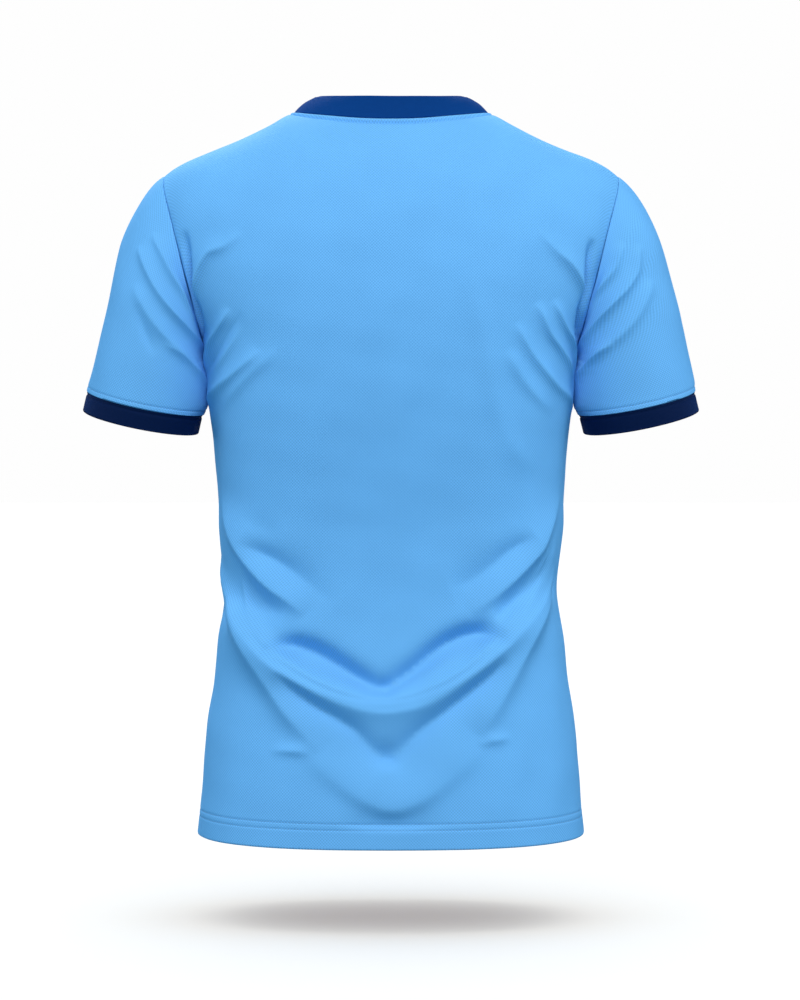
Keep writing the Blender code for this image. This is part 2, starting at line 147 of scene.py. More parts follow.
Flow = namedtuple("Flow", "angle out back down end_out end_down")
SLEEVE_FLOW = [
    Flow(0, 0.145, 0.000, 0.090, 0.044, 0.195),
    Flow(45, 0.130, 0.020, 0.125, 0.040, 0.175),
    Flow(90, 0.085, 0.030, 0.120, 0.032, 0.140),
    Flow(135, 0.040, 0.018, 0.085, 0.026, 0.095),
    Flow(180, 0.000, 0.000, 0.080, 0.026, 0.060),
    Flow(225, 0.040, -0.018, 0.085, 0.026, 0.095),
    Flow(270, 0.085, -0.030, 0.120, 0.032, 0.140),
    Flow(315, 0.130, -0.020, 0.125, 0.040, 0.175),
    Flow(360, 0.145, 0.000, 0.090, 0.044, 0.195),
]

# ---------------------------------------------------------------- folds
# Each crease runs along a line on one face of the cloth. Its rows give the line's place, how far
# the cloth is lifted there (or sunk, below 0) and how far the slope reaches on the left and on
# the right hand of the line, seen from outside. All are in millimetres. A sharpness near 1 makes
# a crisp crest, and 2 a round one.
Crease = namedtuple("Crease", "face sharpness rows")

BACK_CREASES = {
    "swag_base": Crease(BACK, 1.9, [
        (172, -419.5, 0, 8, 8), (167, -451, 2.4, 8, 14), (156.5, -478, 5.6, 9, 18),
        (144, -503, 8, 10, 22), (130, -522, 9, 11, 24), (112, -540.5, 9, 12, 20),
        (87.5, -557.5, 9, 12, 14), (63, -570, 8.4, 13, 18), (37, -579, 7.6, 13, 26),
        (5.5, -583, 7.4, 14, 30), (-11, -581, 7.4, 14, 30), (-32, -575.5, 7.6, 13, 26),
        (-52.5, -566, 8.4, 13, 19), (-74.5, -551.5, 9, 12, 14), (-95, -534.5, 9, 12, 13),
        (-111.5, -517.5, 9, 12, 16), (-125.5, -495.5, 8.4, 10, 20), (-139.5, -476.5, 6.6, 9, 18),
        (-150.5, -456, 4, 9, 14), (-159, -433, 1.6, 8, 8), (-163, -413.5, 0, 8, 8)]),
    "swag_lower_crest": Crease(BACK, 1.4, [
        (169.5, -431.5, 0, 4, 6), (166, -451, 1.5, 4, 8), (159.5, -473, 2, 4, 10),
        (150, -494.5, 2.2, 4, 12), (137, -516, 2.5, 5, 12), (120, -536, 3, 5, 9),
        (100, -553, 3.8, 5, 7), (76, -568, 4, 5, 7), (53.5, -578.5, 3, 5, 9),
        (28.5, -586, 3, 5, 9), (2.5, -589, 3, 5, 9), (-11, -587, 3, 5, 9), (-32, -582, 3, 5, 9),
        (-50.5, -572.5, 3, 5, 9), (-72.5, -557.5, 4, 5, 7), (-95, -539.5, 3.8, 5, 7),
        (-113.5, -521.5, 3, 5, 9), (-129.5, -504.5, 2.2, 4, 12), (-144.5, -486.5, 2, 4, 10),
        (-155.5, -467, 1.5, 4, 8), (-162, -445, 0, 4, 4)]),
    "swag_upper_crest": Crease(BACK, 1.3, [
        (151, -448.5, 0, 4, 4), (146, -466, 2.2, 4, 4), (137, -493, 2.8, 4, 4),
        (123, -518, 3, 5, 4), (110, -531, 3, 5, 4), (91.5, -545, 3, 5, 4), (72, -557.5, 2.9, 5, 4),
        (47, -568.5, 2.6, 5, 4), (24.5, -574.5, 2.4, 5, 4), (2.5, -576.5, 2.2, 5, 4),
        (-11, -574.5, 2.4, 5, 4), (-28, -569.5, 2.6, 5, 4), (-54, -558, 2.9, 5, 4),
        (-76.5, -542, 3, 5, 4), (-95, -526, 3, 5, 4), (-106.5, -513.5, 3, 5, 4),
        (-117.5, -499, 2.8, 4, 4), (-129.5, -482, 2.5, 4, 4), (-141.5, -463, 2.2, 4, 4),
        (-149.5, -442.5, 1.8, 4, 4), (-157, -424, 0, 4, 4)]),
    "left_overhang": Crease(BACK, 1.4, [
        (168.5, -376, 0, 12, 6), (164, -394, 3, 16, 7), (158.5, -409.5, 6, 20, 8),
        (149, -428, 9, 22, 8), (133, -451, 10.4, 22, 9), (116, -469, 9.8, 20, 9),
        (97, -483.5, 6.5, 16, 8), (84.5, -496, 0, 10, 6)]),
    "left_under": Crease(BACK, 1.6, [
        (159.5, -423, 0, 6.6, 8.8), (149, -448.5, -3.6, 7.7, 13.2), (135, -471.5, -4.5, 8.8, 15.4),
        (119, -487.5, -3.9, 8.8, 14.3), (103, -498, 0, 6.6, 11)]),
    "left_high_hollow": Crease(BACK, 1.5, [
        (145, -425, 0, 10.3, 8), (130, -434.5, -6.2, 10.3, 10.3), (112, -444, -7.6, 11.5, 11.5),
        (92.5, -456.5, -6.2, 12.6, 13.8), (73, -470.5, -3.2, 13.8, 16.1),
        (52.5, -486, 0, 13.8, 13.8)]),
    "left_patch": Crease(BACK, 2.0, [
        (147, -397.5, 0, 9, 8), (129, -408.5, -1.4, 11, 9), (105, -418, 0, 9, 8)]),
    "left_brow": Crease(BACK, 1.8, [
        (119, -533, 0, 5.5, 5.2), (111, -528, -5.6, 7.4, 7.4), (97, -525, -11.8, 9.2, 10.5),
        (79.5, -528.5, -15.1, 10.1, 14.7), (65, -535, -15.7, 10.1, 14.7),
        (47, -545.5, -15.7, 10.1, 12.6), (31.5, -555, -14.6, 10.1, 10.5),
        (17, -563, -11.8, 10.1, 8.4), (7.5, -566.5, -9, 9.2, 6.3), (-0.5, -569.5, -2.2, 7.4, 6.3),
        (-6, -571.5, 0, 5.5, 5.2)]),
    "right_brow": Crease(BACK, 1.8, [
        (14, -570.5, 0, 5.5, 5.2), (8.5, -568.5, -2.2, 7.4, 6.3), (1.5, -564.5, -9, 9.2, 6.3),
        (-9, -557, -11.8, 10.1, 8.4), (-24.5, -545.5, -13.4, 10.1, 10.5),
        (-42.5, -531, -15.1, 10.1, 12.6), (-61, -519.5, -15.7, 10.1, 13.7),
        (-76.5, -514, -15.1, 10.1, 12.6), (-91, -513.5, -12.9, 10.1, 9.5),
        (-101, -517.5, -6.7, 8.3, 7.4), (-109.5, -525, 0, 5.5, 5.2)]),
    "left_chevron": Crease(BACK, 1.3, [
        (106, -552, 0, 6, 6), (97, -562.5, -4.8, 8, 8), (85.5, -572, -8.4, 9, 9),
        (69, -583.5, -9.4, 10, 10), (50.5, -594.5, -9.2, 10, 11), (35, -605, -8.6, 10, 12),
        (21, -619.5, -8, 10, 12), (6.5, -632, -7.4, 11, 10), (-3, -637, 0, 9, 8)]),
    "right_chevron": Crease(BACK, 1.3, [
        (10, -637, 0, 9, 8), (1.5, -634, -7, 11, 10), (-6, -627, -8, 10, 12),
        (-16.5, -616.5, -8.2, 10, 12), (-35, -600.5, -8.8, 10, 11), (-53.5, -587, -9.2, 10, 10),
        (-76.5, -569, -8.6, 9, 9), (-95, -554, -6, 8, 8), (-109.5, -538.5, 0, 7, 6)]),
    "second_left_edge": Crease(BACK, 1.4, [
        (157.5, -485, 0, 11, 6.6), (147, -509, 6.1, 15.4, 7.7), (137, -530, 8.8, 19.8, 8.8),
        (125, -551, 9.7, 22, 9.9), (112, -571.5, 9.7, 24.2, 9.9), (97, -593.5, 8.4, 24.2, 9.9),
        (83.5, -609.5, 4.7, 19.8, 9.9), (68, -626.5, 0, 15.4, 9.9)]),
    "second_right_edge": Crease(BACK, 1.4, [
        (-157, -474, 0, 6.6, 8.8), (-148.5, -495, 5.4, 7.7, 13.2), (-136.5, -517, 8.1, 8.8, 17.6),
        (-126.5, -536.5, 9.2, 9.9, 19.8), (-116.5, -556.5, 9.2, 9.9, 22),
        (-105.5, -577.5, 8.1, 9.9, 22), (-96, -595.5, 5.1, 9.9, 19.8), (-86, -611.5, 0, 9.9, 15.4)]),
    "second_belly": Crease(BACK, 2.0, [
        (85.5, -615.5, 0, 18, 10), (66, -640, 2.4, 20, 10), (44, -658, 3.6, 22, 10),
        (22, -672.5, 5, 24, 9), (-1.5, -680, 5.6, 24, 9), (-23.5, -673.5, 5, 24, 9),
        (-45.5, -659, 3.6, 22, 10), (-68.5, -640, 2.4, 20, 10), (-92, -617.5, 0, 18, 10)]),
    "left_dent": Crease(BACK, 1.6, [
        (117, -626, 0, 5.5, 4.4), (103, -625.5, 2.7, 6.6, 5), (90.5, -626, 3.3, 6.6, 5),
        (77.5, -628, 0, 5.5, 4.4)]),
    "right_dent": Crease(BACK, 1.6, [
        (-84, -620, 0, 6.6, 4.4), (-95, -616.5, 3, 6.6, 5), (-105.5, -615, 2.7, 6.6, 5),
        (-116.5, -612.5, 0, 5.5, 4.4)]),
    "hem_hollow": Crease(BACK, 1.5, [
        (53.5, -694, 0, 9, 4), (31.5, -695.5, -2, 10, 4), (5.5, -696.5, -3.6, 11, 4),
        (-18.5, -696.5, -3.2, 11, 4), (-43.5, -695.5, -1.4, 10, 4), (-62, -694, 0, 8, 4)]),
    "left_edge_dent": Crease(BACK, 1.6, [
        (169.5, -478.5, 0, 4.4, 4.4), (165, -496, -3.6, 4.4, 4.4), (158.5, -515, 0, 4.4, 4.4)]),
    "right_edge_dent": Crease(BACK, 1.6, [
        (-163, -451, 0, 4.4, 4.4), (-161, -468.5, -3.6, 4.4, 4.4), (-159, -486, 0, 4.4, 4.4)]),
    "right_overhang": Crease(BACK, 1.4, [
        (-167.5, -377, 0, 6, 12), (-160, -396.5, 3.4, 7, 16), (-152.5, -414.5, 6.6, 8, 20),
        (-144.5, -430, 9, 8, 22), (-132.5, -445, 9.8, 8, 22), (-117.5, -461.5, 9.2, 8, 20),
        (-104.5, -474, 7, 8, 18), (-91, -484.5, 3.9, 8, 14), (-78.5, -494, 0, 6, 10)]),
    "right_under": Crease(BACK, 1.6, [
        (-158, -439, 0, 8.8, 6.6), (-146.5, -458, -3.4, 13.2, 7.7),
        (-131.5, -475.5, -4.2, 15.4, 8.8), (-114.5, -488.5, -3.6, 14.3, 8.8),
        (-100, -499, 0, 11, 6.6)]),
    "right_high_hollow": Crease(BACK, 1.5, [
        (-138.5, -418, 0, 8, 10.3), (-126.5, -427.5, -5.7, 10.3, 10.3),
        (-113.5, -436.5, -6.5, 11.5, 11.5), (-99, -448.5, -6.2, 12.6, 12.6),
        (-79.5, -461, -4.6, 14.9, 13.8), (-57, -469.5, 0, 13.8, 13.8)]),
    "left_blade_ridge": Crease(BACK, 1.4, [
        (144, -125, 0, 4, 6), (151, -131, 1.6, 4.5, 8), (161.5, -138, 3.2, 5, 9),
        (177, -144, 5.2, 5, 9), (184, -155, 6.4, 5, 9), (188, -167, 6.8, 5, 8),
        (191, -181, 6.2, 5, 7), (192, -196, 4.4, 5, 6), (192, -212, 0, 4, 5)]),
    "left_deep_crease": Crease(BACK, 1.7, [
        (202, -120, 0, 4.8, 4.8), (201, -134, -5.4, 4.8, 4.8), (200, -146, -7.5, 4.8, 4.8),
        (198, -160, -9.9, 4.8, 4.8), (196, -174, -11.1, 6.1, 6.1), (193, -189, -11.1, 6.1, 6.1),
        (189, -206, -8.2, 6.1, 6.1), (186, -226, 0, 4.8, 4.8)]),
    "left_rib_ridge": Crease(BACK, 1.4, [
        (156.5, -198, 0, 4, 5), (160.5, -205.5, 2.7, 4, 6), (169.5, -218.5, 4.2, 4.5, 6),
        (178, -230, 4.5, 4.5, 6), (182, -244, 3.6, 4.5, 6), (184, -260, 0, 4, 5)]),
    "left_rib_hollow": Crease(BACK, 1.5, [
        (144, -201, 0, 5, 4), (148, -208.5, -0.8, 5, 4), (156.5, -219.5, -1.4, 5, 4),
        (164, -231, -1.8, 5, 4), (173, -243.5, -2, 5, 4), (180, -255, -1.6, 5, 4),
        (183, -270, 0, 5, 4)]),
    "left_rib_fold": Crease(BACK, 1.5, [
        (144, -214.5, 0, 5, 5), (154, -232.5, 2.4, 5, 5), (165, -247.5, 2.7, 5, 5),
        (177, -262, 0, 5, 5)]),
    "left_waist_ridge": Crease(BACK, 1.4, [
        (126, -238.5, 0, 4, 7), (133, -246, 3, 5, 8), (143, -254.5, 4.5, 5, 9),
        (155.5, -264.5, 5.1, 5, 9), (168.5, -273.5, 4.8, 5, 8), (178, -280, 3.6, 5, 7),
        (183, -290, 0, 4, 6)]),
    "left_low_ridge": Crease(BACK, 1.7, [
        (109, -239, 0, 6, 8), (122, -250.5, 2.1, 6, 9), (137, -263.5, 2.8, 6, 9),
        (152, -278.5, 2.4, 6, 9), (167, -294.5, 0, 6, 8)]),
    "right_blade_ridge": Crease(BACK, 1.4, [
        (-142.5, -123, 0, 6, 4), (-150.5, -132, 1.6, 8, 4.5), (-161, -143, 3.2, 9, 5),
        (-173.5, -154, 5.2, 9, 5), (-182, -166, 6.4, 9, 5), (-187, -178, 6.6, 8, 5),
        (-189, -192, 5.4, 7, 5), (-189, -208, 0, 5, 4)]),
    "right_deep_crease": Crease(BACK, 1.7, [
        (-197, -128, 0, 4.8, 4.8), (-195, -142, -6.2, 4.8, 4.8), (-194, -156, -8.7, 4.8, 4.8),
        (-192, -172, -11.1, 6.1, 6.1), (-190, -186, -11.1, 6.1, 6.1),
        (-187, -202, -10.3, 6.1, 6.1), (-185, -218, -7.5, 6.1, 6.1), (-182, -236, 0, 4.8, 4.8)]),
    "right_rib_ridge": Crease(BACK, 1.4, [
        (-158, -190, 0, 5, 4), (-162, -198.5, 3, 6, 4), (-170, -215.5, 4.2, 6, 4.5),
        (-178, -230, 4.5, 6, 4.5), (-181, -246, 3.3, 6, 4.5), (-182, -262, 0, 5, 4)]),
    "right_rib_fold": Crease(BACK, 1.4, [
        (-140.5, -193.5, 0, 6, 4), (-145.5, -202.5, 3.3, 7, 4.5), (-153.5, -222, 4.8, 8, 4.5),
        (-165.5, -238.5, 5.1, 8, 4.5), (-175, -252, 4.2, 7, 4.5), (-180, -266, 0, 5, 4)]),
    "right_waist_ridge": Crease(BACK, 1.4, [
        (-120.5, -213.5, 0, 7, 4), (-126.5, -225, 3.3, 8, 5), (-136.5, -243, 4.8, 9, 5),
        (-149.5, -260, 5.1, 9, 5), (-164, -275, 4.5, 8, 5), (-175, -283.5, 3, 7, 5),
        (-182, -293, 0, 5, 4)]),
    "right_low_ridge": Crease(BACK, 1.7, [
        (-111.5, -239, 0, 8, 6), (-117.5, -250.5, 2.4, 9, 6), (-129.5, -269.5, 3, 9, 6),
        (-143.5, -285.5, 2.4, 9, 6), (-159, -299, 0, 8, 6)]),
    "swag_groove": Crease(BACK, 1.6, [
        (136, -498.5, 0, 2, 2), (129, -514, -1.4, 2.3, 2.3), (120, -527.5, -2.2, 2.4, 2.4),
        (106, -540.5, -2.4, 2.4, 2.4), (87.5, -553, -2.4, 2.4, 2.4), (63, -565, -2.3, 2.4, 2.4),
        (37, -573.5, -2.1, 2.4, 2.4), (5.5, -577, -1.9, 2.4, 2.4), (-11, -575.5, -1.9, 2.4, 2.4),
        (-32, -569.5, -2.1, 2.4, 2.4), (-52.5, -561, -2.3, 2.4, 2.4),
        (-74.5, -547, -2.4, 2.4, 2.4), (-93, -530.5, -2.4, 2.4, 2.4),
        (-109.5, -512.5, -2.3, 2.4, 2.4), (-122.5, -492.5, -2.1, 2.4, 2.4),
        (-136.5, -471.5, -1.7, 2.3, 2.3), (-147.5, -450.5, -1.2, 2.2, 2.2),
        (-154.5, -431, 0, 2, 2)]),
    "right_long_ridge": Crease(BACK, 1.9, [
        (-75, -162, 0, 14, 12), (-83, -196, 1.6, 14, 12), (-92, -244, 2.0, 14, 12),
        (-104, -297, 2.0, 13, 12), (-121, -337, 1.8, 12, 12), (-145, -355, 0, 12, 12)]),
    "centre_band": Crease(BACK, 2.0, [
        (-9, -134, 0, 30, 30), (-9, -221, 0.8, 30, 30), (-9, -317, 1.0, 30, 30),
        (-7, -403, 0.8, 30, 30), (-5, -471, 0, 30, 30)]),
}

FRONT_CREASES = {
    "right_draw": Crease(FRONT, 1.6, [
        (-178, -268, 0, 6, 8), (-162, -300, 2, 6, 9), (-140, -345, 2.5, 7, 10),
        (-118, -395, 1.5, 8, 11), (-100, -440, 0, 8, 12)]),
    "left_draw": Crease(FRONT, 1.6, [
        (178, -262, 0, 8, 6), (160, -298, 2.2, 9, 6), (136, -340, 2.5, 10, 7),
        (112, -385, 1.4, 11, 8), (96, -425, 0, 12, 8)]),
    "right_armpit": Crease(FRONT, 1.5, [
        (-168, -150, 0, 5, 5), (-172, -180, -2, 5, 6), (-176, -210, -3.5, 5, 7),
        (-176, -245, -3, 5, 7), (-170, -285, 0, 6, 7)]),
    "left_armpit": Crease(FRONT, 1.5, [
        (166, -148, 0, 5, 5), (171, -178, -2.2, 6, 5), (175, -208, -3.2, 7, 5),
        (176, -240, -2.8, 7, 5), (171, -280, 0, 7, 6)]),
}

# The front hangs much like the back: these of its folds, turned half round, at this share.
FRONT_LIKE_BACK = {
    "swag_base": 0.85, "left_overhang": 0.7, "right_overhang": 0.8, "left_brow": 0.6,
    "right_brow": 0.7, "left_chevron": 0.6, "right_chevron": 0.7, "second_left_edge": 0.8,
    "second_right_edge": 0.7, "second_belly": 0.7, "left_waist_ridge": 0.9,
    "right_waist_ridge": 0.8, "left_rib_ridge": 0.8, "right_rib_fold": 0.9,
    "left_low_ridge": 1.2, "right_low_ridge": 1.0,
}
FRONT_SHIFT = (7.0, -9.0)
FRONT_ROUNDER = 0.2

LEFT_SLEEVE_CREASES = {
    "first_ridge": Crease(BACK, 1.4, [
        (234.5, -121, 0, 5, 4), (231.5, -129, 2.7, 7, 4), (224.5, -142.5, 4.3, 8, 4.5),
        (214.5, -163.5, 5.1, 8, 4.5), (205.5, -180, 5.4, 8, 4.5), (199, -195, 4.9, 7, 4.5),
        (193, -209.5, 3, 6, 4.5), (188, -223.5, 0, 5, 4)]),
    "second_ridge": Crease(BACK, 1.4, [
        (250, -134, 0, 6, 4), (246, -142.5, 3, 8, 4.5), (239, -158.5, 4.9, 9, 5),
        (229.5, -177, 5.7, 9, 5), (217.5, -195, 5.9, 9, 5), (203, -212.5, 5.7, 9, 5),
        (190, -228.5, 4.3, 8, 5), (185, -238, 2.4, 6, 5), (182, -249, 0, 5, 4)]),
    "third_ridge": Crease(BACK, 1.6, [
        (253, -171, 0, 7, 5), (249, -181, 2.2, 8, 6), (240, -198, 3.2, 9, 6),
        (230.5, -212.5, 3.8, 9, 6), (219.5, -225.5, 3.5, 9, 6), (205.5, -238, 2.4, 8, 6),
        (192, -249, 0, 7, 5)]),
    "low_ridge": Crease(BACK, 1.4, [
        (224.5, -230.5, 0, 6, 4), (209.5, -238, 3, 7, 5), (200, -247, 4.1, 7, 5),
        (191, -258, 4.3, 7, 5), (185, -269.5, 3.2, 6, 5), (182, -282.5, 0, 5, 4)]),
    "outer_hollow": Crease(BACK, 1.8, [
        (250, -191, 0, 6, 5), (244, -212.5, -1.8, 6, 5), (238, -227.5, -2, 6, 5),
        (231.5, -243, 0, 6, 5)]),
    "outer_line": Crease(BACK, 2.0, [
        (276, -125, 0, 26, 26), (288, -158, -2.5, 28, 28), (294, -188, -4, 28, 28),
        (299, -219, -3.2, 26, 26), (303, -249, -1.8, 24, 24), (306, -272, 0, 20, 20)]),
    "inner_line": Crease(BACK, 2.0, [
        (187, -236, 0, 22, 22), (185.5, -256, 1.4, 22, 22), (186, -276, 2.2, 20, 20),
        (187, -291, 2.4, 18, 18), (188, -302, 1.6, 16, 16)]),
    "front_hollow": Crease(FRONT, 1.5, [
        (232, -118, 0, 6, 6), (227, -138, -1.6, 6, 6), (218, -160, -2.6, 6, 6),
        (207, -184, -3.2, 6, 6), (196, -206, -2.0, 6, 6), (190, -222, 0, 6, 6)]),
    "front_ridge": Crease(FRONT, 1.6, [
        (244, -126, 0, 6, 6), (238, -148, 1.6, 6, 6), (227, -170, 2.4, 6, 6),
        (213, -194, 2.2, 6, 6), (199, -214, 0, 6, 6)]),
    "front_bend": Crease(FRONT, 1.6, [
        (262, -150, 0, 8, 7), (252, -174, -1.8, 8, 7), (238, -200, -2.6, 8, 7),
        (220, -224, -2.4, 8, 7), (204, -240, 0, 8, 7)]),
}

RIGHT_SLEEVE_CREASES = {
    "first_ridge": Crease(BACK, 1.4, [
        (-229.5, -131, 0, 4, 5), (-225.5, -140.5, 3, 4, 7), (-221, -154.5, 4.3, 4.5, 8),
        (-209, -172, 5.1, 4.5, 8), (-200, -184, 5.1, 4.5, 8), (-193, -198, 3.8, 4.5, 7),
        (-189.5, -211.5, 0, 4, 5)]),
    "second_ridge": Crease(BACK, 1.4, [
        (-245.5, -133, 0, 4, 6), (-243.5, -143.5, 3, 4.5, 8), (-241.5, -158.5, 4.6, 5, 9),
        (-232.5, -175, 5.7, 5, 9), (-218, -192, 5.9, 5, 9), (-203, -209.5, 5.7, 5, 9),
        (-191, -227.5, 4.3, 5, 8), (-185.5, -238, 2.4, 5, 6), (-181.5, -250, 0, 4, 5)]),
    "third_ridge": Crease(BACK, 1.6, [
        (-257, -166.5, 0, 5, 7), (-255, -175, 2.2, 6, 8), (-249.5, -189, 3.2, 6, 9),
        (-237.5, -209.5, 3.8, 6, 9), (-223.5, -224.5, 3.8, 6, 9), (-209, -235.5, 3, 6, 8),
        (-193, -249, 0, 5, 7)]),
    "low_ridge": Crease(BACK, 1.4, [
        (-220, -230.5, 0, 4, 6), (-206, -238, 3, 5, 7), (-196, -248, 4.1, 5, 7),
        (-187.5, -260, 4.3, 5, 7), (-183.5, -271.5, 3, 5, 6), (-181.5, -284.5, 0, 4, 5)]),
    "outer_line": Crease(BACK, 2.0, [
        (-297, -205, 0, 24, 24), (-301, -225, 1.0, 24, 24), (-304, -247, 1.8, 22, 22),
        (-306, -268, 1.5, 20, 20)]),
    "inner_line": Crease(BACK, 2.0, [
        (-187, -236, 0, 22, 22), (-185.5, -256, 2.0, 22, 22), (-186, -276, 3.2, 20, 20),
        (-187, -291, 3.4, 18, 18), (-188, -302, 2.4, 16, 16)]),
    "front_hollow": Crease(FRONT, 1.5, [
        (-234, -122, 0, 6, 6), (-228, -143, -1.8, 6, 6), (-219, -164, -2.8, 6, 6),
        (-206, -188, -3.0, 6, 6), (-195, -209, -1.8, 6, 6), (-190, -225, 0, 6, 6)]),
    "front_ridge": Crease(FRONT, 1.6, [
        (-247, -130, 0, 6, 6), (-240, -153, 1.8, 6, 6), (-228, -176, 2.2, 6, 6),
        (-212, -199, 1.8, 6, 6), (-200, -216, 0, 6, 6)]),
    "front_bend": Crease(FRONT, 1.6, [
        (-266, -158, 0, 7, 8), (-254, -181, -2.0, 7, 8), (-239, -206, -2.8, 7, 8),
        (-221, -228, -2.0, 7, 8), (-206, -243, 0, 7, 8)]),
}

# ---------------------------------------------------------------- seams and stitching
NECK_STITCH_DROP = 0.0066
HEM_STITCH_RISES = (0.0190, 0.0252)
SLEEVE_STITCH_RISE = 0.0050
CUFF_FOLD_DROP = 0.0034
GROOVE_DEPTH = 0.00055
GROOVE_REACH = 0.0009
NECK_GROOVE_DEPTH = 0.0030
NECK_GROOVE_REACH = 0.0016
NECK_PUFF = 0.0008
CUFF_FOLD_DEPTH = 0.0010
CUFF_FOLD_REACH = 0.0012
SEAM_DIP = 0.0003
SEAM_REACH = 0.0012
SEAM_DIP_START = 0.002
SEAM_DIP_FADE = 0.004
HEM_BAND = 0.0257
# How far past the neck point, in shares of a panel, the neck's groove and its stitches end.
NECK_GROOVE_END = 0.012
NECK_GROOVE_FADE = 0.020
NECK_STITCH_END = 0.004
RIM_STEPS = 3
CLOTH_MAP = "cloth"
# How far a seam's allowance goes past the seam, and how deep under the neighbouring cloth.
TUCK = ((0.0002, 0.0007), (0.0009, 0.0015), (0.0026, 0.0019))
# Beside the armholes, at the shoulder tips and along the neck an allowance keeps this share.
# The full allowance runs along the shoulder seam between these shares of its length.
SHORT_TUCK = 0.12
SHOULDER_TUCK = (0.06, 0.97)

# ---------------------------------------------------------------- how the folds calm down
# Towards a seam or an edge the folds sink to a share of their height, over these reaches.
SIDE_CALM = 0.007
TOP_CALM = 0.030
EDGE_FOLDS = 0.25
HEM_CALM_START = 0.004
HEM_CALM = 0.030
HEM_FOLDS = 0.4
SLEEVE_CALM = 0.012
ARMHOLE_FOLDS = 0.3
CUFF_END_FOLDS = 0.2
WAVE_LENGTHS = (0.085, 0.060, 0.042)
WAVES_OF_EACH = 3
WAVE_TOTAL = 0.19
SLEEVE_WAVES = 0.8
RIB_UNEVENNESS = 0.0002
PANEL_SEED = 3
SLEEVE_SEED = 7
CUFF_SEED = 11
COLLAR_SEED = 17

# ---------------------------------------------------------------- how finely the cloth is laid
EDGE_STEP = 0.0008
EDGE_ROWS = 12
HEM_FIRST_STEP = 0.0024
HEM_FINE_HEIGHT = 0.0300
# Up to each height below the underarm, a panel's rows are this far apart.
PANEL_STRETCHES = {
    BACK: ((-0.400, 0.0019), (-0.300, 0.0040), (UNDERARM_HEIGHT, 0.0022)),
    FRONT: ((-0.400, 0.0030), (-0.300, 0.0040), (UNDERARM_HEIGHT, 0.0030)),
}
PANEL_RISES = {BACK: (58, 36), FRONT: (40, 30)}
PANEL_COLUMNS = {BACK: (42, 42, 18), FRONT: (32, 28, 14)}
LOW_RISE = 0.45
RISE_LENGTH = 0.20
FAR_SHARE = 0.8
SIDE_COLUMNS = 6
SIDE_STEP = 0.0034
SETTLE_ROUNDS = 90
SETTLE_ROWS = 8.0
SETTLE_COLUMNS = 12
SETTLE_PULL = 0.5
SLEEVE_ROWS = 136
SLEEVE_END_ROWS = (3, 10)
SLEEVE_END_STEP = 0.0042
SLEEVE_COLUMNS = 270
COLLAR_ROWS = 22
COLLAR_HALF_COLUMNS = 130
CUFF_ROWS = 22
CUFF_COLUMNS = 150
# The inner face is laid with every third row and every second column of the outer face.
INNER_ROWS = 3
# A crease's line is laid out in steps of this many millimetres, and is straight this far past
# each of its points. It is felt up to some times its reach, and worked out for a batch of the
# cloth's points at a time. Where the cloth turns more edge-on than this, the line stays at the
# depth of the nearest point.
CREASE_STEP = 2.0
SPAN_SHARE = 0.6
CREASE_MARGIN = 3.0
CREASE_BATCH = 4000
STEEPEST_FACE = 0.35


def lookup(table, key, column, at):
    """Values of a table's column where its key column reaches at, on a smooth curve."""
    keys = np.array([getattr(row, key) for row in table], dtype=float)
    values = np.array([getattr(row, column) for row in table], dtype=float)
    last = len(keys) - 1
    before = np.maximum(np.arange(last + 1) - 1, 0)
    after = np.minimum(np.arange(last + 1) + 1, last)
    slopes = (values[after] - values[before]) / (keys[after] - keys[before])
    at = np.clip(at, keys[0], keys[last])
    index = np.clip(np.searchsorted(keys, at, side="left") - 1, 0, last - 1)
    span = keys[index + 1] - keys[index]
    part = (at - keys[index]) / span
    return eased(values[index], values[index + 1], slopes[index] * span,
                 slopes[index + 1] * span, part)


def eased(start, end, leave, arrive, part):
    """A smooth run from start to end that leaves and arrives with these slopes."""
    return (start * (1 + 2 * part) * (1 - part) ** 2 + end * (3 - 2 * part) * part ** 2
            + leave * part * (1 - part) ** 2 + arrive * part ** 2 * (part - 1))


def signed_power(value, exponent):
    return np.sign(value) * np.abs(value) ** exponent


def unit(vectors):
    length = np.linalg.norm(vectors, axis=-1, keepdims=True)
    return vectors / np.maximum(length, 1e-12)


def smooth(value):
    """0 below 0, 1 above 1, with a soft start and end between."""
    value = np.clip(value, 0.0, 1.0)
    return value * value * (3 - 2 * value)


def bump(distance, reach):
    return np.exp(-(distance / reach) ** 2)


# ---------------------------------------------------------------- body surface
def depth_of(side, height):
    column = "back_depth" if side == BACK else "front_depth"
    return lookup(BODY_SECTIONS, "height", column, height)


def body_surface(side, share, height):
    """Points of the body below the underarm; share runs from one side seam to the other."""
    half_width = lookup(BODY_SECTIONS, "height", "half_width", height)
    power = 2.0 / lookup(BODY_SECTIONS, "height", "squareness", height)
    turn = share * math.pi / 2
    across = half_width * signed_power(np.sin(turn), power)
    full = np.maximum(np.cos(turn), 0.0)
    out = depth_of(side, height) * full ** power
    low = np.maximum(1 - (height - HEM_HEIGHT) / HEM_DIP_REACH, 0.0)
    return np.stack([across, side * out, height - HEM_DIP * full * low], axis=-1)


def ridge_of(side, across, rise):
    """Height of the shoulder ridge over a point, and how roundly the panel climbs there."""
    height = lookup(SHOULDER_RIDGE, "across", "height", across)
    column = "back_round" if side == BACK else "front_round"
    top_round = lookup(SHOULDER_RIDGE, "across", column, across)
    if side == FRONT:
        part = np.minimum(across / NECK_HALF_WIDTH, 1.0)
        height = height - NECK_FRONT_DIP * (1 - part ** NECK_DIP_FLATNESS) ** NECK_DIP_POWER
    return height, CHEST_ROUND + (top_round - CHEST_ROUND) * rise


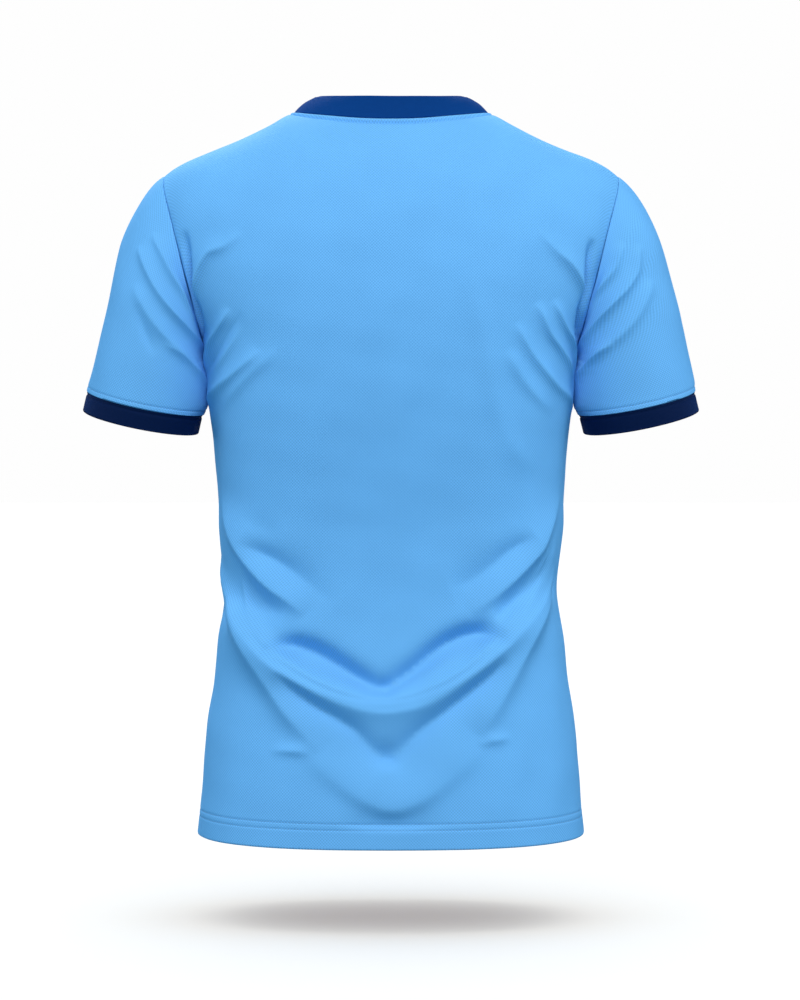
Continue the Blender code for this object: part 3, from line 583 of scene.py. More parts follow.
def armhole_fullness(rise):
    """Share of the panel's depth that the armhole seam reaches at this rise."""
    turn = np.minimum(rise / ARMHOLE_FULL_AT, 1.0) * math.pi / 2
    return ARMHOLE_FULLNESS * np.sin(turn) ** ARMHOLE_FULL_POWER


def neck_plan(side, share):
    """Plan position of the neck seam; share is 0 at the middle and 1 at a neck point."""
    turn = share * math.pi / 2
    if side == BACK:
        return NECK_HALF_WIDTH * np.sin(turn), NECK_BACK_DEPTH * np.maximum(np.cos(turn), 0.0)
    power = 2.0 / NECK_FRONT_SQUARENESS
    across = NECK_HALF_WIDTH * np.sin(turn) ** power
    return across, NECK_FRONT_DEPTH * np.maximum(np.cos(turn), 0.0) ** power


def climb_of(roundness, turn):
    """Share of the way up to the shoulder ridge at this turn of a panel's rounded profile."""
    return np.sin(turn) ** (2.0 / roundness)


def panel_fullness(across, edge_across, rise, squareness):
    """Depth of a section at this distance from the middle, as a share of its depth there."""
    reach = (1 - armhole_fullness(rise) ** squareness) ** (1 / squareness)
    part = np.minimum(reach * across / edge_across, 1.0)
    return np.maximum(1 - part ** squareness, 0.0) ** (1 / squareness)


def upper_surface(side, share, rise):
    """Points of a panel above the underarm.

    The rise is 0 at the underarm and 1 on the shoulder seam and the neck seam. Each column
    climbs a rounded profile up to the shoulder ridge, and the columns fan out round the neck.
    """
    share, rise = np.broadcast_arrays(share, rise)
    squareness = BODY_SECTIONS[-1].squareness
    ease = rise ** ROW_EASE
    edge_turn = np.arccos(armhole_fullness(rise) ** (squareness / 2))
    tip_climb = climb_of(SHOULDER_RIDGE[-1].back_round, ease * math.pi / 2)
    edge_height = UNDERARM_HEIGHT + (SHOULDER_TIP[1] - UNDERARM_HEIGHT) * tip_climb
    edge_across = lookup(ARMHOLE_SEAM, "height", "across", edge_height)

    spread = signed_power(np.sin(share * edge_turn) / np.sin(edge_turn), 2.0 / squareness)
    size = np.abs(share)
    neck_across, neck_depth = neck_plan(side, np.minimum(size / NECK_SHARE, 1.0))
    part = (size - NECK_SHARE) / (1 - NECK_SHARE)
    shoulder_across = NECK_HALF_WIDTH + (SHOULDER_TIP[0] - NECK_HALF_WIDTH) * part
    in_neck = size < NECK_SHARE
    top_across = np.where(in_neck, neck_across, shoulder_across)
    top_depth = np.where(in_neck, neck_depth, 0.0)
    fan = rise ** COLUMN_FAN
    across = (1 - fan) * np.abs(spread) * edge_across + fan * top_across

    top_full = panel_fullness(top_across, SHOULDER_TIP[0], np.ones_like(rise), squareness)
    _, top_round = ridge_of(side, top_across, 1.0)
    chest_depth = depth_of(side, UNDERARM_HEIGHT)
    top_share = (top_depth / (chest_depth * top_full)) ** (top_round / 2)
    turn = ease * np.arccos(np.minimum(top_share, 1.0))

    ridge_height, roundness = ridge_of(side, across, rise)
    full = panel_fullness(across, edge_across, rise, squareness)
    out = chest_depth * full * np.maximum(np.cos(turn), 0.0) ** (2.0 / roundness)
    height = UNDERARM_HEIGHT + (ridge_height - UNDERARM_HEIGHT) * climb_of(roundness, turn)
    return np.stack([np.copysign(across, share), side * out, height], axis=-1)


def even_steps(start, end, steps, fine_start=0, fine_end=0, fine=EDGE_STEP):
    """Positions from start to end, with some fine steps at either end and even ones between."""
    low = start + fine * np.arange(fine_start)
    high = end - fine * np.arange(fine_end)[::-1]
    middle_start = start + fine * fine_start
    middle_end = end - fine * fine_end
    middle = np.linspace(middle_start, middle_end, steps + 1)
    return np.concatenate([low, middle, high])


def panel_levels(side):
    """Heights of a panel's rows below the underarm, and rises of those above it."""
    fine_end = HEM_HEIGHT + HEM_FINE_HEIGHT
    heights = [HEM_HEIGHT, *np.arange(HEM_HEIGHT + HEM_FIRST_STEP, fine_end, EDGE_STEP)]
    for end, step in PANEL_STRETCHES[side]:
        start = heights[-1]
        heights += list(np.linspace(start, end, round((end - start) / step) + 1)[1:])
    low, high = PANEL_RISES[side]
    fine = EDGE_STEP / RISE_LENGTH
    rises = np.concatenate([np.linspace(0.0, LOW_RISE, low + 1),
                            even_steps(LOW_RISE, 1.0, high, 0, EDGE_ROWS, fine)[1:]])
    return np.array(heights), rises[1:]


def panel_shares(side):
    """Shares of a panel's columns, finest at its two edges and where the folds run."""
    near, middle, far = PANEL_COLUMNS[side]
    right = np.concatenate([np.linspace(0.0, NECK_SHARE, near + 1),
                            np.linspace(NECK_SHARE, FAR_SHARE, middle + 1)[1:],
                            even_steps(FAR_SHARE, 1.0, far, 0, SIDE_COLUMNS, SIDE_STEP)[1:]])
    return np.concatenate([-right[:0:-1], right])


def settled(grid, joint):
    """A grid with the slight bend at one row eased out, except beside its side edges."""
    rows = bump(np.arange(len(grid)) - joint, SETTLE_ROWS)[1:-1, None, None]
    columns = np.arange(grid.shape[1])
    inwards = smooth(np.minimum(columns, columns[::-1]) / SETTLE_COLUMNS)[None, :, None]
    ease = SETTLE_PULL * rows * inwards
    grid = grid.copy()
    for _ in range(SETTLE_ROUNDS):
        grid[1:-1] += ease * ((grid[:-2] + grid[2:]) / 2 - grid[1:-1])
    return grid


def panel_surface(side):
    """Plain surface of a panel, row by row from the hem, seen from outside."""
    heights, rises = panel_levels(side)
    shares = -side * panel_shares(side)
    low = body_surface(side, shares[None, :], heights[:, None])
    high = upper_surface(side, shares[None, :], rises[:, None])
    return settled(np.concatenate([low, high]), len(heights) - 1), shares


# ---------------------------------------------------------------- sleeve, cuff and collar
def armhole_seam(turns):
    """Seam points round the left armhole: 0 shoulder, then back, half a turn for the underarm."""
    around = turns / math.pi
    over_back = around <= 1.0
    rise = np.where(over_back, 1.0 - around, around - 1.0)
    back = upper_surface(BACK, np.ones_like(rise), rise)
    front = upper_surface(FRONT, np.ones_like(rise), rise)
    return np.where(over_back[:, None], back, front)


def sleeve_end(turns):
    """Points of the ring where the sleeve meets its cuff."""
    middle = (SLEEVE_OUTER_END + SLEEVE_INNER_END) / 2
    half = (SLEEVE_OUTER_END - SLEEVE_INNER_END) / 2
    depth = np.array([0, SLEEVE_HALF_DEPTH, -SLEEVE_HALF_DEPTH * ARM_FORWARD_SLOPE])
    return middle + half * np.cos(turns)[:, None] + depth * np.sin(turns)[:, None]


def sleeve_surface(parts, turns):
    """Rings of the left sleeve from the armhole, on curves that leave it and meet the cuff."""
    degrees = np.degrees(turns)
    flow = {name: lookup(SLEEVE_FLOW, "angle", name, degrees) for name in Flow._fields[1:]}
    leave = np.stack([flow["out"], flow["back"], -flow["down"]], axis=-1)
    drift = SLEEVE_FORWARD_DRIFT * flow["end_down"]
    arrive = np.stack([flow["end_out"], -drift, -flow["end_down"]], axis=-1)
    start = armhole_seam(turns) + np.array([SLEEVE_SEAM_GAP, 0, 0])
    return eased(start, sleeve_end(turns), leave, arrive, parts[:, None, None])


def cuff_surface(parts, turns):
    edge = sleeve_end(turns)
    middle = (SLEEVE_OUTER_END + SLEEVE_INNER_END) / 2
    ring = edge + unit(middle - edge) * CUFF_INSET
    return ring[None, :, :] + ARM_AXIS * (parts[:, None, None] * CUFF_WIDTH)


def neck_seam():
    """Neck seam points, round from the wearer's right over the back and the front."""
    shares = np.linspace(-1.0, 1.0, 2 * COLLAR_HALF_COLUMNS + 1)
    back = upper_surface(BACK, NECK_SHARE * shares, np.ones_like(shares))
    front = upper_surface(FRONT, NECK_SHARE * shares, np.ones_like(shares))
    return np.concatenate([back, front[-2:0:-1]])


def collar_surface(parts):
    seam = neck_seam()
    at_back = seam[:, 1] >= 0
    across = seam[:, 0] * COLLAR_TOP_HALF_WIDTH / NECK_HALF_WIDTH
    back_height = COLLAR_TOP_HEIGHT - COLLAR_TOP_DROP * seam[:, 1] / NECK_BACK_DEPTH
    front_height = np.minimum(seam[:, 2] + COLLAR_FRONT_RISE, COLLAR_TOP_HEIGHT)
    height = np.where(at_back, back_height, front_height)
    corner = smooth((np.abs(across) - COLLAR_CORNER_START) / COLLAR_CORNER_REACH)
    height -= COLLAR_CORNER_DROP * corner ** 2
    for _ in range(COLLAR_SMOOTHING):
        height = (np.roll(height, 1) + 2 * height + np.roll(height, -1)) / 4
    top = np.stack([across, seam[:, 1] * COLLAR_TOP_SHARE, height], axis=-1)
    sideways = (seam[:, 0] / NECK_HALF_WIDTH) ** 2
    bulge = COLLAR_BACK_BULGE + (COLLAR_SIDE_BULGE - COLLAR_BACK_BULGE) * sideways
    outward = unit(np.stack([seam[:, 0], seam[:, 1], NECK_HALF_WIDTH * sideways], axis=-1))
    part = parts[:, None, None]
    return seam + (top - seam) * part + outward * bulge[:, None] * 4 * part * (1 - part)


# ---------------------------------------------------------------- laying cloth
def outward_normals(grid, ring):
    """Unit normals of a grid whose rows run left to right and upwards, seen from outside."""
    if ring:
        along = np.roll(grid, -1, axis=1) - np.roll(grid, 1, axis=1)
    else:
        along = np.gradient(grid, axis=1)
    return unit(np.cross(along, np.gradient(grid, axis=0)))


def arc_lengths(grid, ring):
    """Distance along each row from its first column, and along each column from the first row."""
    wide = np.concatenate([grid, grid[:, :1]], axis=1) if ring else grid
    steps = np.linalg.norm(np.diff(wide, axis=1), axis=-1)
    across = np.concatenate([np.zeros((len(grid), 1)), np.cumsum(steps, axis=1)], axis=1)
    steps = np.linalg.norm(np.diff(wide, axis=0), axis=-1)
    upward = np.concatenate([np.zeros((1, wide.shape[1])), np.cumsum(steps, axis=0)])
    return across, upward


def smooth_line(rows, spacing):
    """Rows of numbers joined by a smooth curve and laid out at about this spacing."""
    rows = np.array(rows, dtype=float)
    gaps = np.linalg.norm(np.diff(rows[:, :2], axis=0), axis=1)
    place = np.concatenate([[0.0], np.cumsum(gaps)])
    slopes = np.gradient(rows, place, axis=0)
    count = max(int(place[-1] / spacing), 4)
    at = np.linspace(0.0, place[-1], count)
    index = np.clip(np.searchsorted(place, at, side="left") - 1, 0, len(place) - 2)
    span = (place[index + 1] - place[index])[:, None]
    part = (at - place[index])[:, None] / span
    return eased(rows[index], rows[index + 1], slopes[index] * span, slopes[index + 1] * span,
                 part)


def lay_line(rows, face, tree, points, normals):
    """A crease's line laid on the plain surface, with its lift and its two reaches."""
    laid = smooth_line(rows, CREASE_STEP) * MM
    path = []
    for across, height in laid[:, :2]:
        place, index, _ = tree.find((across, face, height))
        normal = normals[index]
        flat = Vector((across, 0.0, height)) - Vector((place.x, 0.0, place.z))
        depth = points[index][1]
        if abs(normal[1]) > STEEPEST_FACE:
            depth -= (normal[0] * flat.x + normal[2] * flat.z) / normal[1]
        path.append((across, depth, height))
    return np.array(path), laid[:, 2], laid[:, 3:5]


def crease_lift(grid, normals, creases, face_of, strength):
    """How far the creases lift each point of a grid off its plain surface."""
    points = grid.reshape(-1, 3)
    normals = normals.reshape(-1, 3)
    tree = KDTree(len(points))
    for index, (point, face) in enumerate(zip(points, face_of.reshape(-1))):
        tree.insert((point[0], face, point[2]), index)
    tree.balance()
    lift = np.zeros(len(points))
    for crease in creases:
        path, lifts, reaches = lay_line(crease.rows, crease.face, tree, points, normals)
        margin = CREASE_MARGIN * reaches.max()
        low, high = path.min(axis=0) - margin, path.max(axis=0) + margin
        near = np.flatnonzero(np.all((points > low) & (points < high), axis=1))
        if not len(near):
            continue
        run = unit(np.gradient(path, axis=0))
        step = np.linalg.norm(np.diff(path, axis=0), axis=1).mean()
        for part in np.array_split(near, max(len(near) // CREASE_BATCH, 1)):
            away = points[part][:, None, :] - path[None, :, :]
            closest = np.argmin(np.einsum("ijk,ijk->ij", away, away), axis=1)
            away = away[np.arange(len(part)), closest]
            tangent = run[closest]
            along = np.einsum("ij,ij->i", away, tangent)
            within = np.clip(along, -step * SPAN_SHARE, step * SPAN_SHARE)
            away = away - tangent * within[:, None]
            distance = np.linalg.norm(away, axis=1)
            hand = np.einsum("ij,ij->i", np.cross(tangent, away), normals[part])
            at = np.clip(closest + within / step, 0, len(path) - 1)
            places = np.arange(len(path))
            left = np.interp(at, places, reaches[:, 0])
            right = np.interp(at, places, reaches[:, 1])
            reach = np.where(hand > 0, left, right)
            profile = np.exp(-(distance / reach) ** crease.sharpness)
            lift[part] += np.interp(at, places, lifts) * profile
    return lift.reshape(grid.shape[:2]) * strength


def calmed(least, calm):
    """Share of the folds that is kept: the least where calm is 0, and all where it is 1."""
    return least + (1 - least) * calm


def unevenness(across, upward, size, seed):
    """Soft random waves over the cloth, about this size, that no fold table lists."""
    chance = np.random.default_rng(seed)
    total = np.zeros(np.broadcast(across, upward).shape)
    for wavelength in WAVE_LENGTHS:
        for _ in range(WAVES_OF_EACH):
            heading = chance.uniform(0, math.pi)
            phase = chance.uniform(0, 2 * math.pi)
            along = across * math.cos(heading) + upward * math.sin(heading)
            total += np.sin(2 * math.pi * along / wavelength + phase) * wavelength
    return size * total / WAVE_TOTAL


def edge_roll(row, inside, normals, wall):
    """Points that carry a cloth edge round from its outer face to its inner face."""
    away = unit(row - inside)
    half = wall[:, None] / 2
    centre = row - normals * half - away * half
    turns = math.pi * np.arange(1, RIM_STEPS + 1) / (RIM_STEPS + 1)
    roll = [centre + normals * half * math.cos(turn) + away * half * math.sin(turn)
            for turn in turns]
    return row - away * half, roll


def tucked(grid, normals, share=1.0):
    """Rows added past a grid's last row, which pass under the cloth on the seam's other side."""
    away = unit(grid[-1] - grid[-2])
    share = np.broadcast_to(share, len(away))[:, None]
    rows = [grid[-1] + (away * beyond - normals[-1] * under) * share for beyond, under in TUCK]
    return np.concatenate([grid, np.array(rows)])


def tucked_sides(grid, normals, side_share, top_share):
    """A grid with seam allowances past its left, right and top edges."""
    extra = len(TUCK)
    turned = tucked(grid.transpose(1, 0, 2), normals.transpose(1, 0, 2), side_share)
    normals = np.concatenate([normals, np.repeat(normals[:, -1:], extra, axis=1)], axis=1)
    turned = tucked(turned[::-1], normals.transpose(1, 0, 2)[::-1], side_share)[::-1]
    normals = np.concatenate([np.repeat(normals[:, :1], extra, axis=1), normals], axis=1)
    top_share = np.pad(top_share, extra, mode="edge")
    return tucked(turned.transpose(1, 0, 2), normals, top_share)


def shell_faces(count, columns, ring, turned_from):
    """Faces of a closed cloth of count rows, by corner as (layer, column)."""
    last_layer = 2 * count + 2 * RIM_STEPS - 1
    inner_start = 2 * count + RIM_STEPS - 1
    kept = [0, *range(INNER_ROWS, count - INNER_ROWS, INNER_ROWS), count - 1]
    end = columns if ring else columns - 1
    faces = []
    over = list(range(count + RIM_STEPS + 1))
    under = list(range(inner_start, last_layer + 1)) + [0]
    for chain in (over, under):
        for low, high in zip(chain, chain[1:]):
            for column in range(end):
                face = [(low, column), (low, column + 1), (high, column + 1), (high, column)]
                faces.append(face[1:] + face[:1] if column >= turned_from else face)
    inner = [inner_start - row for row in reversed(kept)]
    for low, high in zip(inner, inner[1:]):
        for column in range(0, end, 2):
            face = [(low, column), (low, column + 2), (high, column + 2), (high, column)]
            if low == inner[0]:
                face.insert(1, (low, column + 1))
            if high == inner[-1]:
                face.insert(-1, (high, column + 1))
            faces.append(face)
    if ring:
        return faces
    side = [[low, inner_start - low, inner_start - high, *range(high, low, -1)]
            for low, high in zip(kept, kept[1:])]
    side.append([count - 1, count + RIM_STEPS, *range(count + RIM_STEPS - 1, count - 1, -1)])
    side.append([*range(last_layer, inner_start - 1, -1), 0])
    faces += [[(place, columns - 1) for place in loop] for loop in side]
    faces += [[(place, 0) for place in reversed(loop)] for loop in side]
    return faces


def cloth_shell(name, grid, wall, pattern, ring, turned_from=0):
    """A closed cloth with an outer and an inner face and rounded top and bottom edges.

    From the column turned_from on, its faces are split along their other diagonal, so that the
    splits run with the folds.
    """
    normals = outward_normals(grid, ring)
    wall = np.broadcast_to(wall, grid.shape[:2])
    outer = grid.copy()
    outer[-1], top = edge_roll(grid[-1], grid[-2], normals[-1], wall[-1])
    outer[0], bottom = edge_roll(grid[0], grid[1], normals[0], wall[0])
    inner = outer - normals * wall[..., None]
    layers = np.array(list(outer) + top + list(inner[::-1]) + bottom[::-1])
    count, columns = grid.shape[:2]
    source = list(range(count)) + [count - 1] * RIM_STEPS
    source += list(reversed(range(count))) + [0] * RIM_STEPS

    faces = shell_faces(count, columns, ring, turned_from)
    spots = np.array([corner for face in faces for corner in face])
    places = spots[:, 0] * columns + spots[:, 1] % columns
    used, corners = np.unique(places, return_inverse=True)
    ends = np.cumsum([len(face) for face in faces])
    mesh = bpy.data.meshes.new(name)
    mesh.from_pydata(layers.reshape(-1, 3)[used].tolist(), [],
                     [loop.tolist() for loop in np.split(corners, ends[:-1])])
    spread = pattern[np.array(source)[spots[:, 0]], spots[:, 1]]
    cloth_map = mesh.uv_layers.new(name=CLOTH_MAP)
    cloth_map.data.foreach_set("uv", spread.astype(np.float32).ravel())
    mesh.shade_smooth()
    mesh.validate()
    piece = bpy.data.objects.new(name, mesh)
    bpy.context.scene.collection.objects.link(piece)
    return piece


# ---------------------------------------------------------------- lines that stitches follow
STITCH_LINES = {}


def keep_line(group, points):
    STITCH_LINES.setdefault(group, []).append([tuple(point) for point in points])


def line_at(grid, upward, level, from_top):
    """Points across a grid at one distance from its bottom or its top edge."""
    distance = upward[-1] - upward if from_top else upward
    if from_top:
        distance, grid = distance[::-1], grid[::-1]
    points = []
    for column in range(grid.shape[1]):
        rises = distance[:, column]
        points.append([np.interp(level, rises, grid[:, column, axis]) for axis in range(3)])
    return np.array(points)


# ---------------------------------------------------------------- finishes
# The painted relief shade is the share by which a knit's gaps are painted darker, as painted shade,
# and its knots or wales lighter, as painted light.
Finish = namedtuple("Finish", "colour knit contrast roughness shine sheen depth")
FINISHES = {
    "body_cloth": Finish("body", "birdseye_knit", 0.17, 0.72, 0.06, 0.10, 0.00022),
    "collar_cloth": Finish("collar", "fine_rib", 0.18, 0.78, 0.02, 0.04, 0.0002),
    "cuff_cloth": Finish("cuff", "fine_rib", 0.18, 0.74, 0.05, 0.10, 0.0002),
}
SHEEN_ROUGHNESS = 0.45
# The knots or wales are painted lighter by this share of the painted relief shade, as painted light.
KNOT_PAINTED_LIGHT = 0.8
KNOT_TOP = 0.75
KNOT_ROUNDING = 0.3
LOOP_HEIGHT = 0.12
DYE_RANGE = (0.95, 1.05)
ROUGHNESS_SPREAD = 0.16
YARN_RELIEF = 0.35
RELIEF_STRENGTH = 0.8
# The thread is the cloth's colour painted darker by this factor, as painted shade of the groove the
# stitches lie in.
THREAD_PAINTED_SHADE = 0.62
THREAD_SHEEN = 0.1
THREAD_ROUGHNESS = 0.5
THREAD_ROUGHNESS_SPREAD = 0.15
PLY_SCALE = 900.0
PLY_RANGE = (0.86, 1.06)


def value_node(tree, operation, one, two=None, three=None):
    node = tree.nodes.new("ShaderNodeMath")
    node.operation = operation
    for socket, given in zip(node.inputs, (one, two, three)):
        if given is None:
            continue
        if isinstance(given, (int, float)):
            socket.default_value = given
        else:
            tree.links.new(given, socket)
    return node.outputs[0]


def new_group(name, inputs, outputs):
    """A shader group with named number inputs (vectors as a default of None) and outputs."""
    group = bpy.data.node_groups.new(name, "ShaderNodeTree")
    for label, default in inputs:
        kind = "NodeSocketVector" if default is None else "NodeSocketFloat"
        socket = group.interface.new_socket(name=label, in_out="INPUT", socket_type=kind)
        if default is not None:
            socket.default_value = default
    for label in outputs:
        group.interface.new_socket(name=label, in_out="OUTPUT", socket_type="NodeSocketFloat")
    start = group.nodes.new("NodeGroupInput")
    end = group.nodes.new("NodeGroupOutput")
    return group, start, end


def birdseye_group():
    """Diamond dots in offset rows, each a small rounded knot between lower gaps, which the finish
    paints darker as painted shade.
    """
    group, start, end = new_group("birdseye_knit", [("Place", None), ("Pitch", 0.0030)],
                                  ["Height", "Knot"])
    apart = group.nodes.new("ShaderNodeSeparateXYZ")
    group.links.new(start.outputs["Place"], apart.inputs[0])
    waves = []
    for axis in (0, 1):
        turns = value_node(group, "DIVIDE", apart.outputs[axis], start.outputs["Pitch"])
        angle = value_node(group, "MULTIPLY", turns, 2 * math.pi)
        waves.append(value_node(group, "COSINE", angle))
    product = value_node(group, "MULTIPLY", waves[0], waves[1])
    knot = value_node(group, "MULTIPLY_ADD", product, 0.5, 0.5)
    group.links.new(knot, end.inputs["Knot"])
    height = value_node(group, "SMOOTH_MIN", knot, KNOT_TOP, KNOT_ROUNDING)
    group.links.new(height, end.inputs["Height"])
    return group


def rib_group():
    """Upright wales of a fine rib, with small loops along each."""
    group, start, end = new_group("fine_rib", [("Place", None), ("Wale", 0.0012),
                                               ("Loop", 0.0010)], ["Height", "Wale"])
    apart = group.nodes.new("ShaderNodeSeparateXYZ")
    group.links.new(start.outputs["Place"], apart.inputs[0])
    across = value_node(group, "DIVIDE", apart.outputs[0], start.outputs["Wale"])
    wale = value_node(group, "ABSOLUTE",
                      value_node(group, "SINE", value_node(group, "MULTIPLY", across, math.pi)))
    upward = value_node(group, "DIVIDE", apart.outputs[1], start.outputs["Loop"])
    loop = value_node(group, "SINE", value_node(group, "MULTIPLY", upward, 2 * math.pi))
    height = value_node(group, "MULTIPLY_ADD", loop, LOOP_HEIGHT, wale)
    group.links.new(height, end.inputs["Height"])
    group.links.new(wale, end.inputs["Wale"])
    return group


# The shader group of each knit that a finish can name.
KNITS = {"birdseye_knit": birdseye_group, "fine_rib": rib_group}


def mottle_group():
    """Slow and fine unevenness of dyed yarn, around the middle of 0 to 1."""
    group, start, end = new_group("yarn_mottle", [("Place", None), ("Patch", 0.05),
                                                  ("Yarn", 0.0016)], ["Patch", "Yarn"])
    for label, detail in (("Patch", 3.0), ("Yarn", 1.0)):
        scale = value_node(group, "DIVIDE", 1.0, start.outputs[label])
        noise = group.nodes.new("ShaderNodeTexNoise")
        noise.inputs["Detail"].default_value = detail
        group.links.new(start.outputs["Place"], noise.inputs["Vector"])
        group.links.new(scale, noise.inputs["Scale"])
        group.links.new(noise.outputs["Fac"], end.inputs[label])
    return group


def place_group(tree, group, place, **values):
    node = tree.nodes.new("ShaderNodeGroup")
    node.node_tree = group
    tree.links.new(place, node.inputs["Place"])
    for label, value in values.items():
        node.inputs[label].default_value = value
    return node


def mix_colour(tree, factor, one, two, blend="MIX"):
    node = tree.nodes.new("ShaderNodeMix")
    node.data_type = "RGBA"
    node.blend_type = blend
    for socket, given in ((node.inputs[0], factor), (node.inputs[6], one),
                          (node.inputs[7], two)):
        if isinstance(given, bpy.types.NodeSocket):
            tree.links.new(given, socket)
        elif isinstance(given, (int, float)):
            socket.default_value = given
        else:
            socket.default_value = (*given, 1.0)
    return node.outputs[2]


def shade(colour, factor):
    return tuple(channel * factor for channel in colour)


def cloth_finish(name, colour, look, knit, patch):
    """A knitted cloth: its pattern, with painted shade in the gaps between knots or wales and
    painted light on the knots or wales, its uneven dye, its soft sheen and its relief.
    """
    material = bpy.data.materials.new(name)
    material.use_nodes = True
    tree = material.node_tree
    skin = tree.nodes["Principled BSDF"]
    skin.inputs["Sheen Weight"].default_value = look.sheen
    skin.inputs["Sheen Roughness"].default_value = SHEEN_ROUGHNESS
    skin.inputs["Sheen Tint"].default_value = (*unit(np.array(colour)), 1.0)
    skin.inputs["Specular IOR Level"].default_value = look.shine
    place = tree.nodes.new("ShaderNodeUVMap")
    place.uv_map = CLOTH_MAP
    pattern = place_group(tree, knit, place.outputs[0])
    mottle = place_group(tree, patch, place.outputs[0])
    # The knit's gaps are painted darker, as painted shade, and its knots or wales lighter, as
    # painted light, following the knit's relief.
    shaded_gap = shade(colour, 1 - look.contrast)
    knot = shade(colour, 1 + look.contrast * KNOT_PAINTED_LIGHT)
    base = mix_colour(tree, pattern.outputs[1], shaded_gap, knot)
    weak, strong = DYE_RANGE
    dyed = mix_colour(tree, mottle.outputs["Patch"], shade((1, 1, 1), weak),
                      shade((1, 1, 1), strong))
    tinted = mix_colour(tree, 1.0, base, dyed, "MULTIPLY")
    tree.links.new(tinted, skin.inputs["Base Color"])
    roughness = value_node(tree, "MULTIPLY_ADD", mottle.outputs["Yarn"], ROUGHNESS_SPREAD,
                           look.roughness - ROUGHNESS_SPREAD / 2)
    tree.links.new(roughness, skin.inputs["Roughness"])
    yarn = value_node(tree, "MULTIPLY", mottle.outputs["Yarn"], YARN_RELIEF)
    relief = value_node(tree, "ADD", pattern.outputs["Height"], yarn)
    raised = tree.nodes.new("ShaderNodeBump")
    raised.inputs["Strength"].default_value = RELIEF_STRENGTH
    raised.inputs["Distance"].default_value = look.depth
    tree.links.new(relief, raised.inputs["Height"])
    tree.links.new(raised.outputs["Normal"], skin.inputs["Normal"])
    return material


def finish_for(name):
    """One of the jersey's finishes by name, made when it is first asked for."""
    if name in bpy.data.materials:
        return bpy.data.materials[name]
    look = FINISHES[name]
    groups = bpy.data.node_groups
    patch = groups.get("yarn_mottle") or mottle_group()
    knit = groups.get(look.knit) or KNITS[look.knit]()
    colour = tuple(getattr(bpy.context.scene.jersey_colours, look.colour))
    return cloth_finish(name, colour, look, knit, patch)


def thread_finish(name, colour):
    """Twisted sewing thread: slanting plies and a slight shine."""
    material = bpy.data.materials.new(name)
    material.use_nodes = True
    tree = material.node_tree
    skin = tree.nodes["Principled BSDF"]
    skin.inputs["Sheen Weight"].default_value = THREAD_SHEEN
    place = tree.nodes.new("ShaderNodeTexCoord")
    plies = tree.nodes.new("ShaderNodeTexWave")
    plies.wave_type = "BANDS"
    plies.bands_direction = "DIAGONAL"
    plies.inputs["Scale"].default_value = PLY_SCALE
    tree.links.new(place.outputs["Object"], plies.inputs["Vector"])
    dark, light = PLY_RANGE
    tint = mix_colour(tree, plies.outputs["Fac"], shade(colour, dark), shade(colour, light))
    tree.links.new(tint, skin.inputs["Base Color"])
    roughness = value_node(tree, "MULTIPLY_ADD", plies.outputs["Fac"],
                           THREAD_ROUGHNESS_SPREAD, THREAD_ROUGHNESS)
    tree.links.new(roughness, skin.inputs["Roughness"])
    return material


# ---------------------------------------------------------------- stitches along a line
CAPSULE_SIDES = 6
CAPSULE_RINGS = 5


def stitch_tree():
    """Geometry nodes that lay capsule stitches end to end along the given lines."""
    tree = bpy.data.node_groups.new("stitch_rows", "GeometryNodeTree")
    face = tree.interface
    face.new_socket(name="Geometry", in_out="INPUT", socket_type="NodeSocketGeometry")
    for label, default in (("Pitch", 0.0032), ("Length", 0.0025), ("Thickness", 0.0006)):
        socket = face.new_socket(name=label, in_out="INPUT", socket_type="NodeSocketFloat")
        socket.default_value = default
    face.new_socket(name="Thread", in_out="INPUT", socket_type="NodeSocketMaterial")
    face.new_socket(name="Geometry", in_out="OUTPUT", socket_type="NodeSocketGeometry")
    nodes, link = tree.nodes, tree.links.new
    start, end = nodes.new("NodeGroupInput"), nodes.new("NodeGroupOutput")

    spaced = nodes.new("GeometryNodeResampleCurve")
    spaced.mode = "LENGTH"
    link(start.outputs["Geometry"], spaced.inputs["Curve"])
    link(start.outputs["Pitch"], spaced.inputs["Length"])
    capsule = nodes.new("GeometryNodeMeshUVSphere")
    capsule.inputs["Segments"].default_value = CAPSULE_SIDES
    capsule.inputs["Rings"].default_value = CAPSULE_RINGS
    capsule.inputs["Radius"].default_value = 0.5
    size = nodes.new("ShaderNodeCombineXYZ")
    link(start.outputs["Thickness"], size.inputs["X"])
    link(start.outputs["Thickness"], size.inputs["Y"])
    link(start.outputs["Length"], size.inputs["Z"])
    shaped = nodes.new("GeometryNodeTransform")
    link(capsule.outputs["Mesh"], shaped.inputs["Geometry"])
    link(size.outputs[0], shaped.inputs["Scale"])
    tangent = nodes.new("GeometryNodeInputTangent")
    aim = nodes.new("FunctionNodeAlignRotationToVector")
    aim.axis = "Z"
    link(tangent.outputs[0], aim.inputs["Vector"])
    placed = nodes.new("GeometryNodeInstanceOnPoints")
    link(spaced.outputs["Curve"], placed.inputs["Points"])
    link(shaped.outputs["Geometry"], placed.inputs["Instance"])
    link(aim.outputs["Rotation"], placed.inputs["Rotation"])
    real = nodes.new("GeometryNodeRealizeInstances")
    link(placed.outputs["Instances"], real.inputs["Geometry"])
    smooth_faces = nodes.new("GeometryNodeSetShadeSmooth")
    link(real.outputs["Geometry"], smooth_faces.inputs["Geometry"])
    painted = nodes.new("GeometryNodeSetMaterial")
    link(smooth_faces.outputs["Geometry"], painted.inputs["Geometry"])
    link(start.outputs["Thread"], painted.inputs["Material"])
    link(painted.outputs["Geometry"], end.inputs["Geometry"])
    return tree


